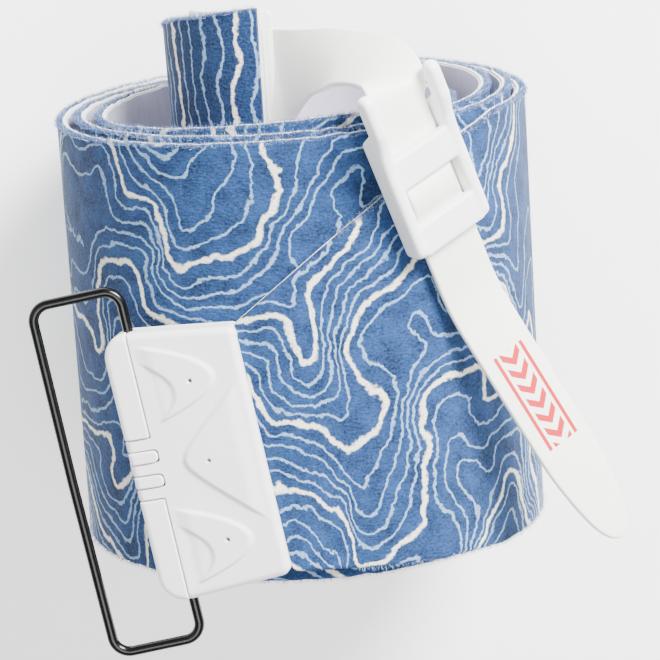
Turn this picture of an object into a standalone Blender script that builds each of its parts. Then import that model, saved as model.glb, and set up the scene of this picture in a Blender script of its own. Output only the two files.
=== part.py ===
"""A rolled climbing skin: pile sheet wound on itself, wire-bail tip bracket, tail strap with its buckle.

The roll lies on its side. Everything is modelled round the empty roll_axis: x runs across the roll,
y along the roll's axis from the lower edge of the skin to the end its strap comes out of, z up out of
the roll. That empty is turned half a turn about Z, so the strap's end of the roll faces -Y.
"""

import math

import bmesh
import bpy
from mathutils import Matrix, Vector

# The sheet, laid flat and wound
SKIN_WIDTH = 0.130
PILE_THICKNESS = 0.0023
BACKING_THICKNESS = 0.0007
TOUCH_GAP = 0.0003
LAYER_GAP = 0.0002
OUTER_RADIUS = 0.0725
FIRST_TURN_DROP = 0.0037
TURN_PITCH = 0.0063
WOUND_TURNS = 3.0
CORE_END_RADIUS = 0.0300
SEAM_AZIMUTH = 10.0
TAIL_AZIMUTH = -14.0
STEPS_PER_TURN = 40
SHORTEST_STEP = 0.002
REST_FACE_WIDTH = 0.036

# The tapered tip, which leaves the roll and ends in the bracket
TIP_TAPER_END = 62.0
TIP_TAPER_POWER = 1.65
TIP_TAPER_DROP = 0.051
TIP_FOOT_END = 54.0
TIP_FOOT_RISE = 0.0055
TIP_TAPER_START = -13.7
FLAP_STEPS = 6

# The tail, drawn up out of the core and cut narrow for its strap
TAIL_RISE = 0.0330
TAIL_CUT_WIDTH = 0.058
TAIL_RISE_START = 3.25
TAIL_CUT_START = 3.10

# Tip bracket: two shells closed over the skin and round the wire
BRACKET_AZIMUTH = -14.0
BRACKET_TILT = 9.5
BRACKET_OFFSET = -0.0137
BRACKET_HEIGHT = 0.3 * SKIN_WIDTH
BRACKET_RADIUS = OUTER_RADIUS + 0.0008
BRACKET_WIDTH = 0.040
BRACKET_LONG_SIDE = 0.081
BRACKET_SHORT_SIDE = 0.075
COVER_WALL = 0.0032
BASE_WALL = 0.0017
POCKET_CLEARANCE = 0.0003
POCKET_LENGTH = 0.068
POCKET_FLOOR = 0.0115
SEAM_INSET = 0.0080
OUTER_CORNER = 0.0075
INNER_CORNER = 0.0022
KNUCKLE_TONGUE = 0.0036
KNUCKLE_FINGER = 0.0038
TONGUES = 3
KNUCKLE_CLEARANCE = 0.0003
PIN_RADIUS = 0.0006
PIN_CLEARANCE = 0.00025
PIN_SPACING = 0.024
PIN_OFFSET = 0.004
PIN_RECESS = 0.0012

# Wire bail
WIRE_RADIUS = 0.0015
WIRE_CLEARANCE = 0.00035
BAIL_DEPTH = 0.026
BAIL_OVERHANG = 0.0125
BAIL_CORNER = 0.0050
BAIL_LIFT = 12.0

# Tail strap and the plate that is welded to the tail
STRAP_WIDTH = 0.019
STRAP_THICKNESS = 0.0020
PLATE_WIDTH = 0.038
PLATE_THICKNESS = 0.0015
PLATE_LENGTH = 0.026
PLATE_OVERHANG = 0.0035
PLATE_MIDDLE = SKIN_WIDTH + TAIL_RISE - 0.021
ROOT_HEIGHT = PLATE_MIDDLE + 0.0025
ROOT_CLEARANCE = 0.0012
FLARE_LENGTH = 0.16
FLARE_REACH = 0.009
ROOT_HEADING = 45.0
ROOT_CLIMB = 11.0
ROOT_LEAN = -34.0
ROOT_HANDLE = 0.056
SLOT_HANDLE = 0.011
STRAIGHT_ABOVE_SLOT = 0.0085
LEAN_POWER = 0.5
ARCH_STEPS = 16
RUN_AFTER_BUCKLE = 0.014
RUN_BEND = 20.0
RUN_BEND_LENGTH = 0.015
RUN_STRAIGHT = 0.075
POINT_LENGTH = 0.024
ROUND_OFF_TIGHTNESS = 2.2
POINT_BLUNTNESS = 0.012

# Buckle
BUCKLE_AZIMUTH = 34.0
BUCKLE_TILT = 21.4
BUCKLE_OFFSET = -0.0096
BUCKLE_HEIGHT = SKIN_WIDTH - 0.0025
FLOOR_THICKNESS = 0.0015
BUCKLE_WALL = 0.0040
WALL_HEIGHT = 0.0085
EAR_LENGTH = 0.021
FLOOR_REACH = 0.0065
EAR_NOSE_START = 0.0095
EAR_CLEARANCE = STRAP_WIDTH / 14
BAR_LENGTH = 0.010
WINDOW_LENGTH = 0.0115
END_BAR_LENGTH = 0.0095
BAR_THICKNESS = 0.0030
STRAP_CLEARANCE = 0.0004
HUMP_HEIGHT = 0.0024
HUMP_EDGE = 0.0004

BOOLEAN_OVERLAP = 0.001

SHEET_THICKNESS = PILE_THICKNESS + LAYER_GAP + BACKING_THICKNESS
TAIL_TURN = WOUND_TURNS + (360 + TAIL_AZIMUTH - SEAM_AZIMUTH) / 360
WALL_GAP_UNDER_STRAP = STRAP_THICKNESS / 2 + STRAP_CLEARANCE
BUCKLE_END = -(BAR_LENGTH + WINDOW_LENGTH + END_BAR_LENGTH)


def clear_scene():
    for thing in list(bpy.data.objects):
        bpy.data.objects.remove(thing, do_unlink=True)


def plastic(name, color, roughness, metallic=0.0):
    material = bpy.data.materials.new(name)
    material.use_nodes = True
    shader = material.node_tree.nodes["Principled BSDF"]
    shader.inputs["Base Color"].default_value = (*color, 1.0)
    shader.inputs["Roughness"].default_value = roughness
    shader.inputs["Metallic"].default_value = metallic
    return material


def object_from(name, mesh, parent, material=None):
    thing = bpy.data.objects.new(name, mesh)
    bpy.context.scene.collection.objects.link(thing)
    thing.parent = parent
    if material:
        mesh.materials.append(material)
    return thing


def mesh_of(name, points, faces):
    """A mesh of these points and faces, with its faces turned outwards."""
    mesh = bpy.data.meshes.new(name)
    mesh.from_pydata([tuple(p) for p in points], [], faces)
    shape = bmesh.new()
    shape.from_mesh(mesh)
    bmesh.ops.recalc_face_normals(shape, faces=shape.faces)
    shape.to_mesh(mesh)
    shape.free()
    return mesh


def loft(name, rings):
    """A closed solid through rings of the same number of points, flat at both ends."""
    count = len(rings[0])
    points = [p for ring in rings for p in ring]
    faces = [tuple(range(count)), tuple(range(len(points) - count, len(points)))]
    for r in range(len(rings) - 1):
        for i in range(count):
            j = (i + 1) % count
            low, high = r * count, (r + 1) * count
            faces.append((low + i, low + j, high + j, high + i))
    return mesh_of(name, points, faces)


def prism(name, outline, low, high):
    """An outline in x and y, extruded from height low to height high."""
    return loft(name, [[(x, y, z) for x, y in outline] for z in (low, high)])


def box(name, low, high):
    corners = [(low[0], low[1]), (high[0], low[1]), (high[0], high[1]), (low[0], high[1])]
    return prism(name, corners, low[2], high[2])


def rod(name, radius, start, end, sides=16):
    """A round rod between two points, with its flats outside the radius so that a bore keeps its size."""
    axis = (Vector(end) - Vector(start)).normalized()
    across = axis.orthogonal().normalized()
    other = axis.cross(across)
    reach = radius / math.cos(math.pi / sides)
    rings = []
    for point in (Vector(start), Vector(end)):
        turns = [2 * math.pi * i / sides for i in range(sides)]
        rings.append([point + reach * (math.cos(t) * across + math.sin(t) * other) for t in turns])
    return loft(name, rings)


def helper(name, mesh, parent):
    thing = object_from(name, mesh, parent)
    thing.hide_render = True
    thing.display_type = "WIRE"
    return thing


def combine(thing, operation, mesh, name):
    """Adds mesh to thing, or cuts it away, with an exact Boolean."""
    other = helper(f"{thing.name}_{name}", mesh, thing.parent)
    modifier = thing.modifiers.new(name, "BOOLEAN")
    modifier.operation = operation
    modifier.object = other


def arc(center, radius, start, end, steps):
    """Points on a round corner, from one angle to another in degrees."""
    angles = [math.radians(start + (end - start) * i / steps) for i in range(steps + 1)]
    return [(center[0] + radius * math.cos(t), center[1] + radius * math.sin(t)) for t in angles]


def smooth_step(share):
    share = min(max(share, 0.0), 1.0)
    return share * share * (3 - 2 * share)


# --- the wound sheet ---------------------------------------------------------------------------

def wound_radius(turn):
    """Distance of the pile's outer face from the roll's axis, turn 0 being where the tip leaves the roll."""
    wound = min(turn, WOUND_TURNS)
    radius = OUTER_RADIUS - FIRST_TURN_DROP * min(wound, 1.0) - TURN_PITCH * max(wound - 1.0, 0.0)
    if turn > WOUND_TURNS:
        share = (turn - WOUND_TURNS) / (TAIL_TURN - WOUND_TURNS)
        radius += (CORE_END_RADIUS - radius) * share
    return radius


def axis_height():
    """Height of the roll's axis, which leaves the underside flat over REST_FACE_WIDTH."""
    underneath = wound_radius((180 - SEAM_AZIMUTH) / 360)
    return math.sqrt(underneath ** 2 - (REST_FACE_WIDTH / 2) ** 2)


def top_edge(turn):
    """Height of the upper cut edge of the skin above its lower edge's line."""
    azimuth = SEAM_AZIMUTH + 360 * turn
    rise = TAIL_RISE * smooth_step((turn - TAIL_RISE_START) / (TAIL_TURN - TAIL_RISE_START))
    if azimuth >= TIP_TAPER_END:
        return SKIN_WIDTH + rise
    share = (TIP_TAPER_END - azimuth) / (TIP_TAPER_END - TIP_TAPER_START)
    return SKIN_WIDTH - TIP_TAPER_DROP * share ** TIP_TAPER_POWER


def bottom_edge(turn):
    azimuth = SEAM_AZIMUTH + 360 * turn
    foot = TIP_FOOT_RISE * max(0.0, (TIP_FOOT_END - azimuth) / (TIP_FOOT_END - TIP_TAPER_START))
    cut = SKIN_WIDTH + TAIL_RISE - TAIL_CUT_WIDTH
    return foot + cut * smooth_step((turn - TAIL_CUT_START) / (TAIL_TURN - TAIL_CUT_START))


def wound_point(turn, height, depth):
    """A point on the wound sheet, depth below its outer face. The underside is pressed flat."""
    azimuth = math.radians(SEAM_AZIMUTH + 360 * turn)
    radius = wound_radius(turn) - depth
    under = int(turn) * (SHEET_THICKNESS + TOUCH_GAP)
    floor = -(axis_height() - under - depth)
    return Vector((radius * math.sin(azimuth), height, max(radius * math.cos(azimuth), floor)))


def wound_sheet(name, start, end, depths, parent, material):
    """One layer of the laminate between two turns, depths being those of its two faces."""
    first, last = math.ceil(start * STEPS_PER_TURN), math.floor(end * STEPS_PER_TURN)
    turns = [i / STEPS_PER_TURN for i in range(first, last + 1)]
    turns = [start] + [t for t in turns if start + SHORTEST_STEP < t < end - SHORTEST_STEP] + [end]
    rings = []
    for turn in turns:
        low, high = bottom_edge(turn), top_edge(turn)
        places = ((low, depths[0]), (high, depths[0]), (high, depths[1]), (low, depths[1]))
        rings.append([wound_point(turn, height, depth) for height, depth in places])
    return object_from(name, loft(name, rings), parent, material)


def bracket_matrix():
    """From the bracket's own frame (x across it, y along it, z out of the roll) to the roll's."""
    turned = Matrix.Rotation(math.radians(BRACKET_AZIMUTH), 4, "Y")
    placed = Matrix.Translation((BRACKET_OFFSET, BRACKET_HEIGHT, BRACKET_RADIUS))
    return turned @ placed @ Matrix.Rotation(math.radians(BRACKET_TILT), 4, "Z")


def flap_rings(depths):
    """Cross-sections of the tip, from the seam with the roll into the bracket's pocket."""
    into = bracket_matrix()
    upright = into.to_3x3() @ Vector((0, 0, 1))
    half = SHEET_THICKNESS / 2
    mouth = BRACKET_WIDTH / 2 + TOUCH_GAP
    low_corner = into @ Vector((mouth, -BRACKET_SHORT_SIDE / 2, half))
    high_corner = into @ Vector((mouth, BRACKET_SHORT_SIDE / 2, half))
    rings = []
    gap_turn = TOUCH_GAP / (2 * math.pi * OUTER_RADIUS)
    for step in range(FLAP_STEPS + 1):
        share = step / FLAP_STEPS
        ends = []
        for corner, edge in ((low_corner, bottom_edge), (high_corner, top_edge)):
            azimuth = math.degrees(math.atan2(corner.x, corner.z))
            reach = math.hypot(corner.x, corner.z)
            start = SEAM_AZIMUTH - 360 * gap_turn
            here = start + (azimuth - start) * share
            turn = (here - SEAM_AZIMUTH) / 360
            radius = OUTER_RADIUS + (reach - OUTER_RADIUS) * smooth_step(share)
            height = edge(turn) + (corner.y - edge((azimuth - SEAM_AZIMUTH) / 360)) * share
            outward = Vector((math.sin(math.radians(here)), 0, math.cos(math.radians(here))))
            outward = outward.lerp(upright, share).normalized()
            angle = math.radians(here)
            ends.append((Vector((radius * math.sin(angle), height, radius * math.cos(angle))), outward))
        (low, low_out), (high, high_out) = ends
        rings.append([low - low_out * depths[0], high - high_out * depths[0],
                      high - high_out * depths[1], low - low_out * depths[1]])
    tongue = POCKET_LENGTH / 2 - POCKET_CLEARANCE
    for across in (mouth - TOUCH_GAP / 4, -BRACKET_WIDTH / 2 + POCKET_FLOOR + TOUCH_GAP):
        points = ((-tongue, depths[0]), (tongue, depths[0]), (tongue, depths[1]), (-tongue, depths[1]))
        rings.append([into @ Vector((across, along, half - depth)) for along, depth in points])
    return rings


def tip_flap(name, depths, parent, material):
    """One layer of the tip, with holes for the bracket's pins."""
    thing = object_from(name, loft(name, flap_rings(depths)), parent, material)
    for index in range(TONGUES):
        cutter = pin_rod(f"{name}_hole", PIN_RADIUS + PIN_CLEARANCE, index, -SHEET_THICKNESS, SHEET_THICKNESS)
        cutter.transform(bracket_matrix())
        combine(thing, "DIFFERENCE", cutter, f"pin_hole_{index + 1}")
    return thing


# --- tip bracket -------------------------------------------------------------------------------

COVER_TOP = SHEET_THICKNESS / 2 + POCKET_CLEARANCE + COVER_WALL
BASE_TOP = -(SHEET_THICKNESS / 2 + POCKET_CLEARANCE)
BASE_BOTTOM = BASE_TOP - BASE_WALL
WIRE_PLACE = (-BRACKET_WIDTH / 2 + SEAM_INSET, 0.0, (COVER_TOP + BASE_BOTTOM) / 2)


def side_length(across):
    """Length of the bracket at this place across it, since its hinge side is the longer one."""
    share = across / BRACKET_WIDTH + 0.5
    return BRACKET_LONG_SIDE + (BRACKET_SHORT_SIDE - BRACKET_LONG_SIDE) * share


def bracket_outline(left):
    """The bracket seen from above, from its left limit to its mouth, with rounded corners."""
    right = BRACKET_WIDTH / 2
    whole = left <= -right + 1e-6
    corner = OUTER_CORNER if whole else 0.0
    outline = []
    near, far = side_length(left) / 2, side_length(right) / 2
    if whole:
        outline += arc((left + corner, -near + corner), corner, 180, 270, 4)
    else:
        outline.append((left, -near))
    outline += arc((right - INNER_CORNER, -far + INNER_CORNER), INNER_CORNER, 270, 360, 3)
    outline += arc((right - INNER_CORNER, far - INNER_CORNER), INNER_CORNER, 0, 90, 3)
    if whole:
        outline += arc((left + corner, near - corner), corner, 90, 180, 4)
    else:
        outline.append((left, near))
    return outline


def pin_rod(name, radius, index, low, high):
    along = (index - (TONGUES - 1) / 2) * PIN_SPACING
    return rod(name, radius, (PIN_OFFSET, along, low), (PIN_OFFSET, along, high), sides=8)


def knuckle(index):
    """Lower and upper end of one of the cover's tongues along the wire."""
    pitch = KNUCKLE_TONGUE + KNUCKLE_FINGER
    middle = (index - (TONGUES - 1) / 2) * pitch
    return middle - KNUCKLE_TONGUE / 2, middle + KNUCKLE_TONGUE / 2


def wire_bore(name):
    reach = BRACKET_LONG_SIDE
    x, _, z = WIRE_PLACE
    return rod(name, WIRE_RADIUS + WIRE_CLEARANCE, (x, -reach, z), (x, reach, z))


def bracket_cover(parent, material):
    """The upper shell, whose tongues reach across the wire; the pocket for the skin is cut in it."""
    seam = WIRE_PLACE[0] + KNUCKLE_CLEARANCE / 2
    low = BASE_TOP + TOUCH_GAP
    cover = object_from("bracket_cover", prism("bracket_cover", bracket_outline(seam), low, COVER_TOP),
                        parent, material)
    edge = -BRACKET_WIDTH / 2
    for index in range(TONGUES):
        start, end = knuckle(index)
        tongue = box("tongue", (edge, start, low), (seam + BOOLEAN_OVERLAP, end, COVER_TOP))
        combine(cover, "UNION", tongue, f"tongue_{index + 1}")
    half = POCKET_LENGTH / 2
    pocket = box("pocket", (edge + POCKET_FLOOR, -half, low - BOOLEAN_OVERLAP),
                 (BRACKET_WIDTH / 2 + BOOLEAN_OVERLAP, half, COVER_TOP - COVER_WALL))
    combine(cover, "DIFFERENCE", pocket, "pocket")
    combine(cover, "DIFFERENCE", wire_bore("bore"), "wire_bore")
    for index in range(TONGUES):
        hole = pin_rod("hole", PIN_RADIUS + PIN_CLEARANCE, index, 0.0,
                       COVER_TOP + BOOLEAN_OVERLAP)
        combine(cover, "DIFFERENCE", hole, f"pin_hole_{index + 1}")
    return cover


def bracket_base(parent, material):
    """The lower shell and the rim beyond the wire, slotted for the cover's tongues."""
    left = -BRACKET_WIDTH / 2
    base = object_from("bracket_base", prism("bracket_base", bracket_outline(left), BASE_BOTTOM, COVER_TOP),
                       parent, material)
    seam = WIRE_PLACE[0] - KNUCKLE_CLEARANCE / 2
    reach = BRACKET_LONG_SIDE
    above = box("above", (seam, -reach, BASE_TOP), (BRACKET_WIDTH, reach, COVER_TOP + BOOLEAN_OVERLAP))
    combine(base, "DIFFERENCE", above, "room_for_cover")
    for index in range(TONGUES):
        start, end = knuckle(index)
        slot = box("slot", (left - BOOLEAN_OVERLAP, start - KNUCKLE_CLEARANCE, BASE_TOP),
                   (seam + BOOLEAN_OVERLAP, end + KNUCKLE_CLEARANCE, COVER_TOP + 2 * BOOLEAN_OVERLAP))
        combine(base, "DIFFERENCE", slot, f"tongue_slot_{index + 1}")
    combine(base, "DIFFERENCE", wire_bore("bore"), "wire_bore")
    for index in range(TONGUES):
        hole = pin_rod("hole", PIN_RADIUS + PIN_CLEARANCE, index, BASE_BOTTOM + BASE_WALL / 4,
                       BASE_TOP + BOOLEAN_OVERLAP)
        combine(base, "DIFFERENCE", hole, f"pin_hole_{index + 1}")
    return base


def bracket_pins(parent, material):
    low = BASE_BOTTOM + BASE_WALL / 4 + TOUCH_GAP
    for index in range(TONGUES):
        name = f"bracket_pin_{index + 1}"
        object_from(name, pin_rod(name, PIN_RADIUS, index, low, COVER_TOP - PIN_RECESS), parent, material)


def wire_bail(parent, material):
    """A closed wire loop with its origin on the bore, one long side in the bore."""
    half = BRACKET_LONG_SIDE / 2 + BAIL_OVERHANG
    corner = BAIL_CORNER
    path = arc((-corner, half - corner), corner, 0, 90, 4)
    path += arc((-BAIL_DEPTH + corner, half - corner), corner, 90, 180, 4)
    path += arc((-BAIL_DEPTH + corner, -half + corner), corner, 180, 270, 4)
    path += arc((-corner, -half + corner), corner, 270, 360, 4)
    curve = bpy.data.curves.new("wire_bail", "CURVE")
    curve.dimensions = "3D"
    curve.bevel_depth = WIRE_RADIUS
    curve.bevel_resolution = 2
    spline = curve.splines.new("POLY")
    spline.points.add(len(path) - 1)
    for point, (x, y) in zip(spline.points, path):
        point.co = (x, y, 0, 1)
    spline.use_cyclic_u = True
    bail = object_from("wire_bail", curve, parent, material)
    bail.location = WIRE_PLACE
    bail.rotation_euler = (0, math.radians(BAIL_LIFT), 0)
    return bail


# --- tail strap --------------------------------------------------------------------------------

def buckle_matrix():
    """From the buckle's own frame to the roll's: x across the strap, y up it, z out of the roll."""
    stack = WALL_GAP_UNDER_STRAP + FLOOR_THICKNESS + TOUCH_GAP
    turned = Matrix.Rotation(math.radians(BUCKLE_AZIMUTH), 4, "Y")
    placed = Matrix.Translation((BUCKLE_OFFSET, BUCKLE_HEIGHT, OUTER_RADIUS + stack))
    return turned @ placed @ Matrix.Rotation(math.radians(BUCKLE_TILT), 4, "Z")


def root_point():
    """Middle of the strap where it leaves the plate."""
    depth = SHEET_THICKNESS + LAYER_GAP + PLATE_THICKNESS / 2
    place = wound_point(TAIL_TURN, ROOT_HEIGHT, depth)
    azimuth = math.radians(TAIL_AZIMUTH)
    along = Vector((math.cos(azimuth), 0, -math.sin(azimuth)))
    return place + along * (PLATE_OVERHANG + ROOT_CLEARANCE)


def strap_line():
    """Middle, width direction and half width of the strap from its root to its point."""
    frame = buckle_matrix()
    turn = frame.to_3x3()
    slot = frame @ Vector((0, 0, 0))
    across = turn @ Vector((1, 0, 0))
    down = turn @ Vector((0, -1, 0))
    out = turn @ Vector((0, 0, 1))
    heading, climb = math.radians(ROOT_HEADING), math.radians(ROOT_CLIMB)
    start = root_point()
    away = Vector((math.cos(heading) * math.cos(climb), math.sin(climb), math.sin(heading) * math.cos(climb)))
    entry = slot - down * STRAIGHT_ABOVE_SLOT
    knots = (start, start + away * ROOT_HANDLE, entry - down * SLOT_HANDLE, entry)
    lean = math.radians(ROOT_LEAN)
    lean_root = Vector((0, math.cos(lean), math.sin(lean)))
    half = STRAP_WIDTH / 2
    stations = []
    for step in range(-2, ARCH_STEPS):
        t = step / ARCH_STEPS if step > 0 else (step + 2) / (3 * ARCH_STEPS)
        weights = ((1 - t) ** 3, 3 * (1 - t) ** 2 * t, 3 * (1 - t) * t * t, t ** 3)
        middle = sum((k * w for k, w in zip(knots, weights)), Vector())
        slopes = ((1 - t) ** 2, 2 * (1 - t) * t, t * t)
        along = sum(((b - a) * w for a, b, w in zip(knots, knots[1:], slopes)), Vector()).normalized()
        wide = lean_root.lerp(across, t ** LEAN_POWER)
        wide = (wide - along * wide.dot(along)).normalized()
        flare = FLARE_REACH * max(0.0, 1 - t / FLARE_LENGTH) ** 2
        stations.append((middle - wide * flare / 2, wide, along.cross(wide), half + flare / 2))
    reach = -BUCKLE_END + RUN_AFTER_BUCKLE
    stations += [(slot + down * d, across, out, half) for d in (-STRAIGHT_ABOVE_SLOT, reach / 2, reach)]
    middle = slot + down * reach
    bend_steps = 4
    for step in range(1, bend_steps + 1):
        angle = math.radians(RUN_BEND * (step - 0.5) / bend_steps)
        middle = middle + (down * math.cos(angle) + out * math.sin(angle)) * (RUN_BEND_LENGTH / bend_steps)
        angle = math.radians(RUN_BEND * step / bend_steps)
        stations.append((middle, across, out * math.cos(angle) - down * math.sin(angle), half))
    angle = math.radians(RUN_BEND)
    along = down * math.cos(angle) + out * math.sin(angle)
    face = out * math.cos(angle) - down * math.sin(angle)
    point_start = RUN_STRAIGHT - POINT_LENGTH
    for distance in (point_start / 2, point_start):
        stations.append((middle + along * distance, across, face, half))
    for share in (0.25, 0.5, 0.7, 0.85, 0.95, 1.0):
        width = half * math.sqrt(max(1 - share ** ROUND_OFF_TIGHTNESS, POINT_BLUNTNESS))
        stations.append((middle + along * (point_start + POINT_LENGTH * share), across, face, width))
    return stations


def strap(parent, material):
    """The tail strap from its plate over the roll's edge, through the buckle, to its point."""
    rings = []
    lift = STRAP_THICKNESS / 2
    for middle, wide, out, half in strap_line():
        rings.append([middle - wide * half - out * lift, middle + wide * half - out * lift,
                      middle + wide * half + out * lift, middle - wide * half + out * lift])
    return object_from("strap", loft("strap", rings), parent, material)


def strap_plate(parent, material):
    """The wide root of the strap, on the film side of the tail and proud of its cut end."""
    low, high = PLATE_MIDDLE - PLATE_WIDTH / 2, PLATE_MIDDLE + PLATE_WIDTH / 2
    inner = SHEET_THICKNESS + LAYER_GAP
    length_turn = 1 / (2 * math.pi * CORE_END_RADIUS)
    start = TAIL_TURN - PLATE_LENGTH * length_turn
    rings = []
    steps = 6
    for step in range(steps + 1):
        turn = start + (TAIL_TURN - start) * step / steps
        places = ((low, inner), (high, inner), (high, inner + PLATE_THICKNESS), (low, inner + PLATE_THICKNESS))
        rings.append([wound_point(turn, height, depth) for height, depth in places])
    azimuth = math.radians(TAIL_AZIMUTH)
    along = Vector((math.cos(azimuth), 0, -math.sin(azimuth)))
    rings.append([point + along * PLATE_OVERHANG for point in rings[-1]])
    return object_from("strap_plate", loft("strap_plate", rings), parent, material)


def wall_profile():
    """A buckle wall from the side: ear at the top, rounded at both ends, y along and z out."""
    low = -(WALL_GAP_UNDER_STRAP + FLOOR_THICKNESS)
    high = low + WALL_HEIGHT
    foot = WALL_HEIGHT * 0.30
    nose = STRAP_THICKNESS / 2 + EAR_CLEARANCE
    middle, round_off = (nose + high) / 2, (high - nose) / 2
    outline = [(BUCKLE_END, low), (FLOOR_REACH, low), (EAR_NOSE_START, nose)]
    outline += arc((EAR_LENGTH - round_off, middle), round_off, -90, 90, 6)
    outline += arc((BUCKLE_END + foot, high - foot), foot, 90, 180, 3)
    return outline


def buckle(parent, material):
    """Two walls with ears, a floor under the strap and two bars over it, in one piece."""
    inner = STRAP_WIDTH / 2 + STRAP_CLEARANCE
    outer = inner + BUCKLE_WALL
    low = -(WALL_GAP_UNDER_STRAP + FLOOR_THICKNESS)
    reach = inner + BOOLEAN_OVERLAP
    end_face = BUCKLE_END + BOOLEAN_OVERLAP / 2
    floor = box("buckle", (-reach, end_face, low), (reach, FLOOR_REACH, low + FLOOR_THICKNESS))
    thing = object_from("buckle", floor, parent, material)
    for side, start, end in (("left", -outer, -inner), ("right", inner, outer)):
        rings = [[(x, y, z) for y, z in wall_profile()] for x in (start, end)]
        combine(thing, "UNION", loft("wall", rings), f"{side}_wall")
    under = STRAP_THICKNESS / 2 + STRAP_CLEARANCE
    window = -BAR_LENGTH - WINDOW_LENGTH
    for name, start, end in (("slot_bar", -BAR_LENGTH, 0.0), ("end_bar", end_face, window)):
        bar = box("bar", (-reach, start, under), (reach, end, under + BAR_THICKNESS))
        combine(thing, "UNION", bar, name)
    return thing


def strap_hump(parent, material):
    """The strap where it rides up over the buckle's hidden cross rib, seen through the window."""
    half = STRAP_WIDTH / 2 - STRAP_CLEARANCE
    low = STRAP_THICKNESS / 2 + STRAP_CLEARANCE
    start, end = -BAR_LENGTH - WINDOW_LENGTH + TOUCH_GAP, -BAR_LENGTH - TOUCH_GAP
    steps = 8
    outline = [(end, low), (start, low)]
    for step in range(steps + 1):
        share = step / steps
        rise = HUMP_EDGE + HUMP_HEIGHT * math.sin(math.pi * share)
        outline.append((start + (end - start) * share, low + rise))
    rings = [[(x, y, z) for y, z in outline] for x in (-half, half)]
    return object_from("strap_hump", loft("strap_hump", rings), parent, material)


# --- assembly ----------------------------------------------------------------------------------

def frame_empty(name, parent, matrix):
    empty = bpy.data.objects.new(name, None)
    bpy.context.scene.collection.objects.link(empty)
    empty.parent = parent
    empty.matrix_local = matrix
    return empty


def main():
    clear_scene()
    pile = plastic("pile_fabric", (0.055, 0.14, 0.36), 0.9)
    backing = plastic("adhesive_backing", (0.52, 0.50, 0.58), 0.45)
    shell = plastic("white_shell", (0.86, 0.86, 0.87), 0.35)
    strap_white = plastic("strap_white", (0.82, 0.83, 0.79), 0.5)
    coated_steel = plastic("coated_steel", (0.012, 0.012, 0.013), 0.3, 0.6)
    brass = plastic("pin_brass", (0.42, 0.26, 0.10), 0.35, 1.0)

    upright = Matrix.Translation((0, SKIN_WIDTH / 2, axis_height())) @ Matrix.Rotation(math.pi, 4, "Z")
    roll = frame_empty("roll_axis", None, upright)
    pile_depths = (0.0, PILE_THICKNESS)
    backing_depths = (PILE_THICKNESS + LAYER_GAP, SHEET_THICKNESS)
    wound_sheet("pile_roll", 0.0, TAIL_TURN, pile_depths, roll, pile)
    wound_sheet("backing_roll", 0.0, TAIL_TURN, backing_depths, roll, backing)
    tip_flap("pile_tip", pile_depths, roll, pile)
    tip_flap("backing_tip", backing_depths, roll, backing)

    bracket = frame_empty("bracket_seat", roll, bracket_matrix())
    bracket_cover(bracket, shell)
    bracket_base(bracket, shell)
    bracket_pins(bracket, brass)
    wire_bail(bracket, coated_steel)

    strap_plate(roll, strap_white)
    strap(roll, strap_white)
    seat = frame_empty("buckle_seat", roll, buckle_matrix())
    buckle(seat, shell)
    strap_hump(seat, strap_white)


main()
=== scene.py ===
"""Looks for a rolled climbing skin: printed pile, tip bracket with wire bail, tail strap with buckle."""

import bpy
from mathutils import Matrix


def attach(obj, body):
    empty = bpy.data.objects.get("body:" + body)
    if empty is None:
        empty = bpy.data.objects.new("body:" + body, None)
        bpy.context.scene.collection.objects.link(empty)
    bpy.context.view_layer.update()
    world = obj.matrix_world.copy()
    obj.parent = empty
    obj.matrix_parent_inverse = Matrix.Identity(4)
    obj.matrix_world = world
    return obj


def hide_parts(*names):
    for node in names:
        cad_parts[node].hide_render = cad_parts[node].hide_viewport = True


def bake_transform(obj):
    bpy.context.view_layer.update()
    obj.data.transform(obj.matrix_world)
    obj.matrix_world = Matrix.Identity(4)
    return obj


bl_info = {
    "name": "Climbing Skin",
    "version": (1, 0, 0),
    "blender": (4, 5, 0),
    "location": "3D View > Sidebar > Climbing Skin",
    "description": "Builds the looks of a rolled climbing skin around its packed frame",
    "category": "Add Mesh",
}

import math

import bmesh
import bpy
import numpy as np
from bpy.props import FloatProperty, FloatVectorProperty, IntProperty, PointerProperty
from mathutils import Matrix, Vector, noise

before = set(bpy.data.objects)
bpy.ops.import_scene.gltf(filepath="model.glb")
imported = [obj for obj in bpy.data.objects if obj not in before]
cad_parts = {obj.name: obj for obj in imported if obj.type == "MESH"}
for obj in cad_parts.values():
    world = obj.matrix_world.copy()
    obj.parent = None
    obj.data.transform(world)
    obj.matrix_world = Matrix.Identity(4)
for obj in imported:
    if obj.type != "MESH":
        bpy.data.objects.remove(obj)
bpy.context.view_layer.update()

# Where the roll, its bracket and its buckle sit. The roll's own frame has x to the right seen from
# the strap end, y along the roll from its far edge to the strap end, and z up from the roll's axis.
AXIS_HEIGHT = 0.068425
SEAM_AZIMUTH = 10.0
TAIL_AZIMUTH = -14.0
FIRST_TURN_DROP = 0.0037
TURN_PITCH = 0.0063
WOUND_TURNS = 3.0
CORE_END_RADIUS = 0.030
TAIL_TURN = WOUND_TURNS + (360 + TAIL_AZIMUTH - SEAM_AZIMUTH) / 360
TIP_TAPER_END, TIP_TAPER_START = 62.0, -13.7
TIP_TAPER_DROP, TIP_TAPER_POWER = 0.051, 1.65
TIP_FOOT_END, TIP_FOOT_RISE = 54.0, 0.0055
TAIL_RISE, TAIL_CUT_WIDTH = 0.033, 0.058
TAIL_RISE_START, TAIL_CUT_START = 3.25, 3.10


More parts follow.
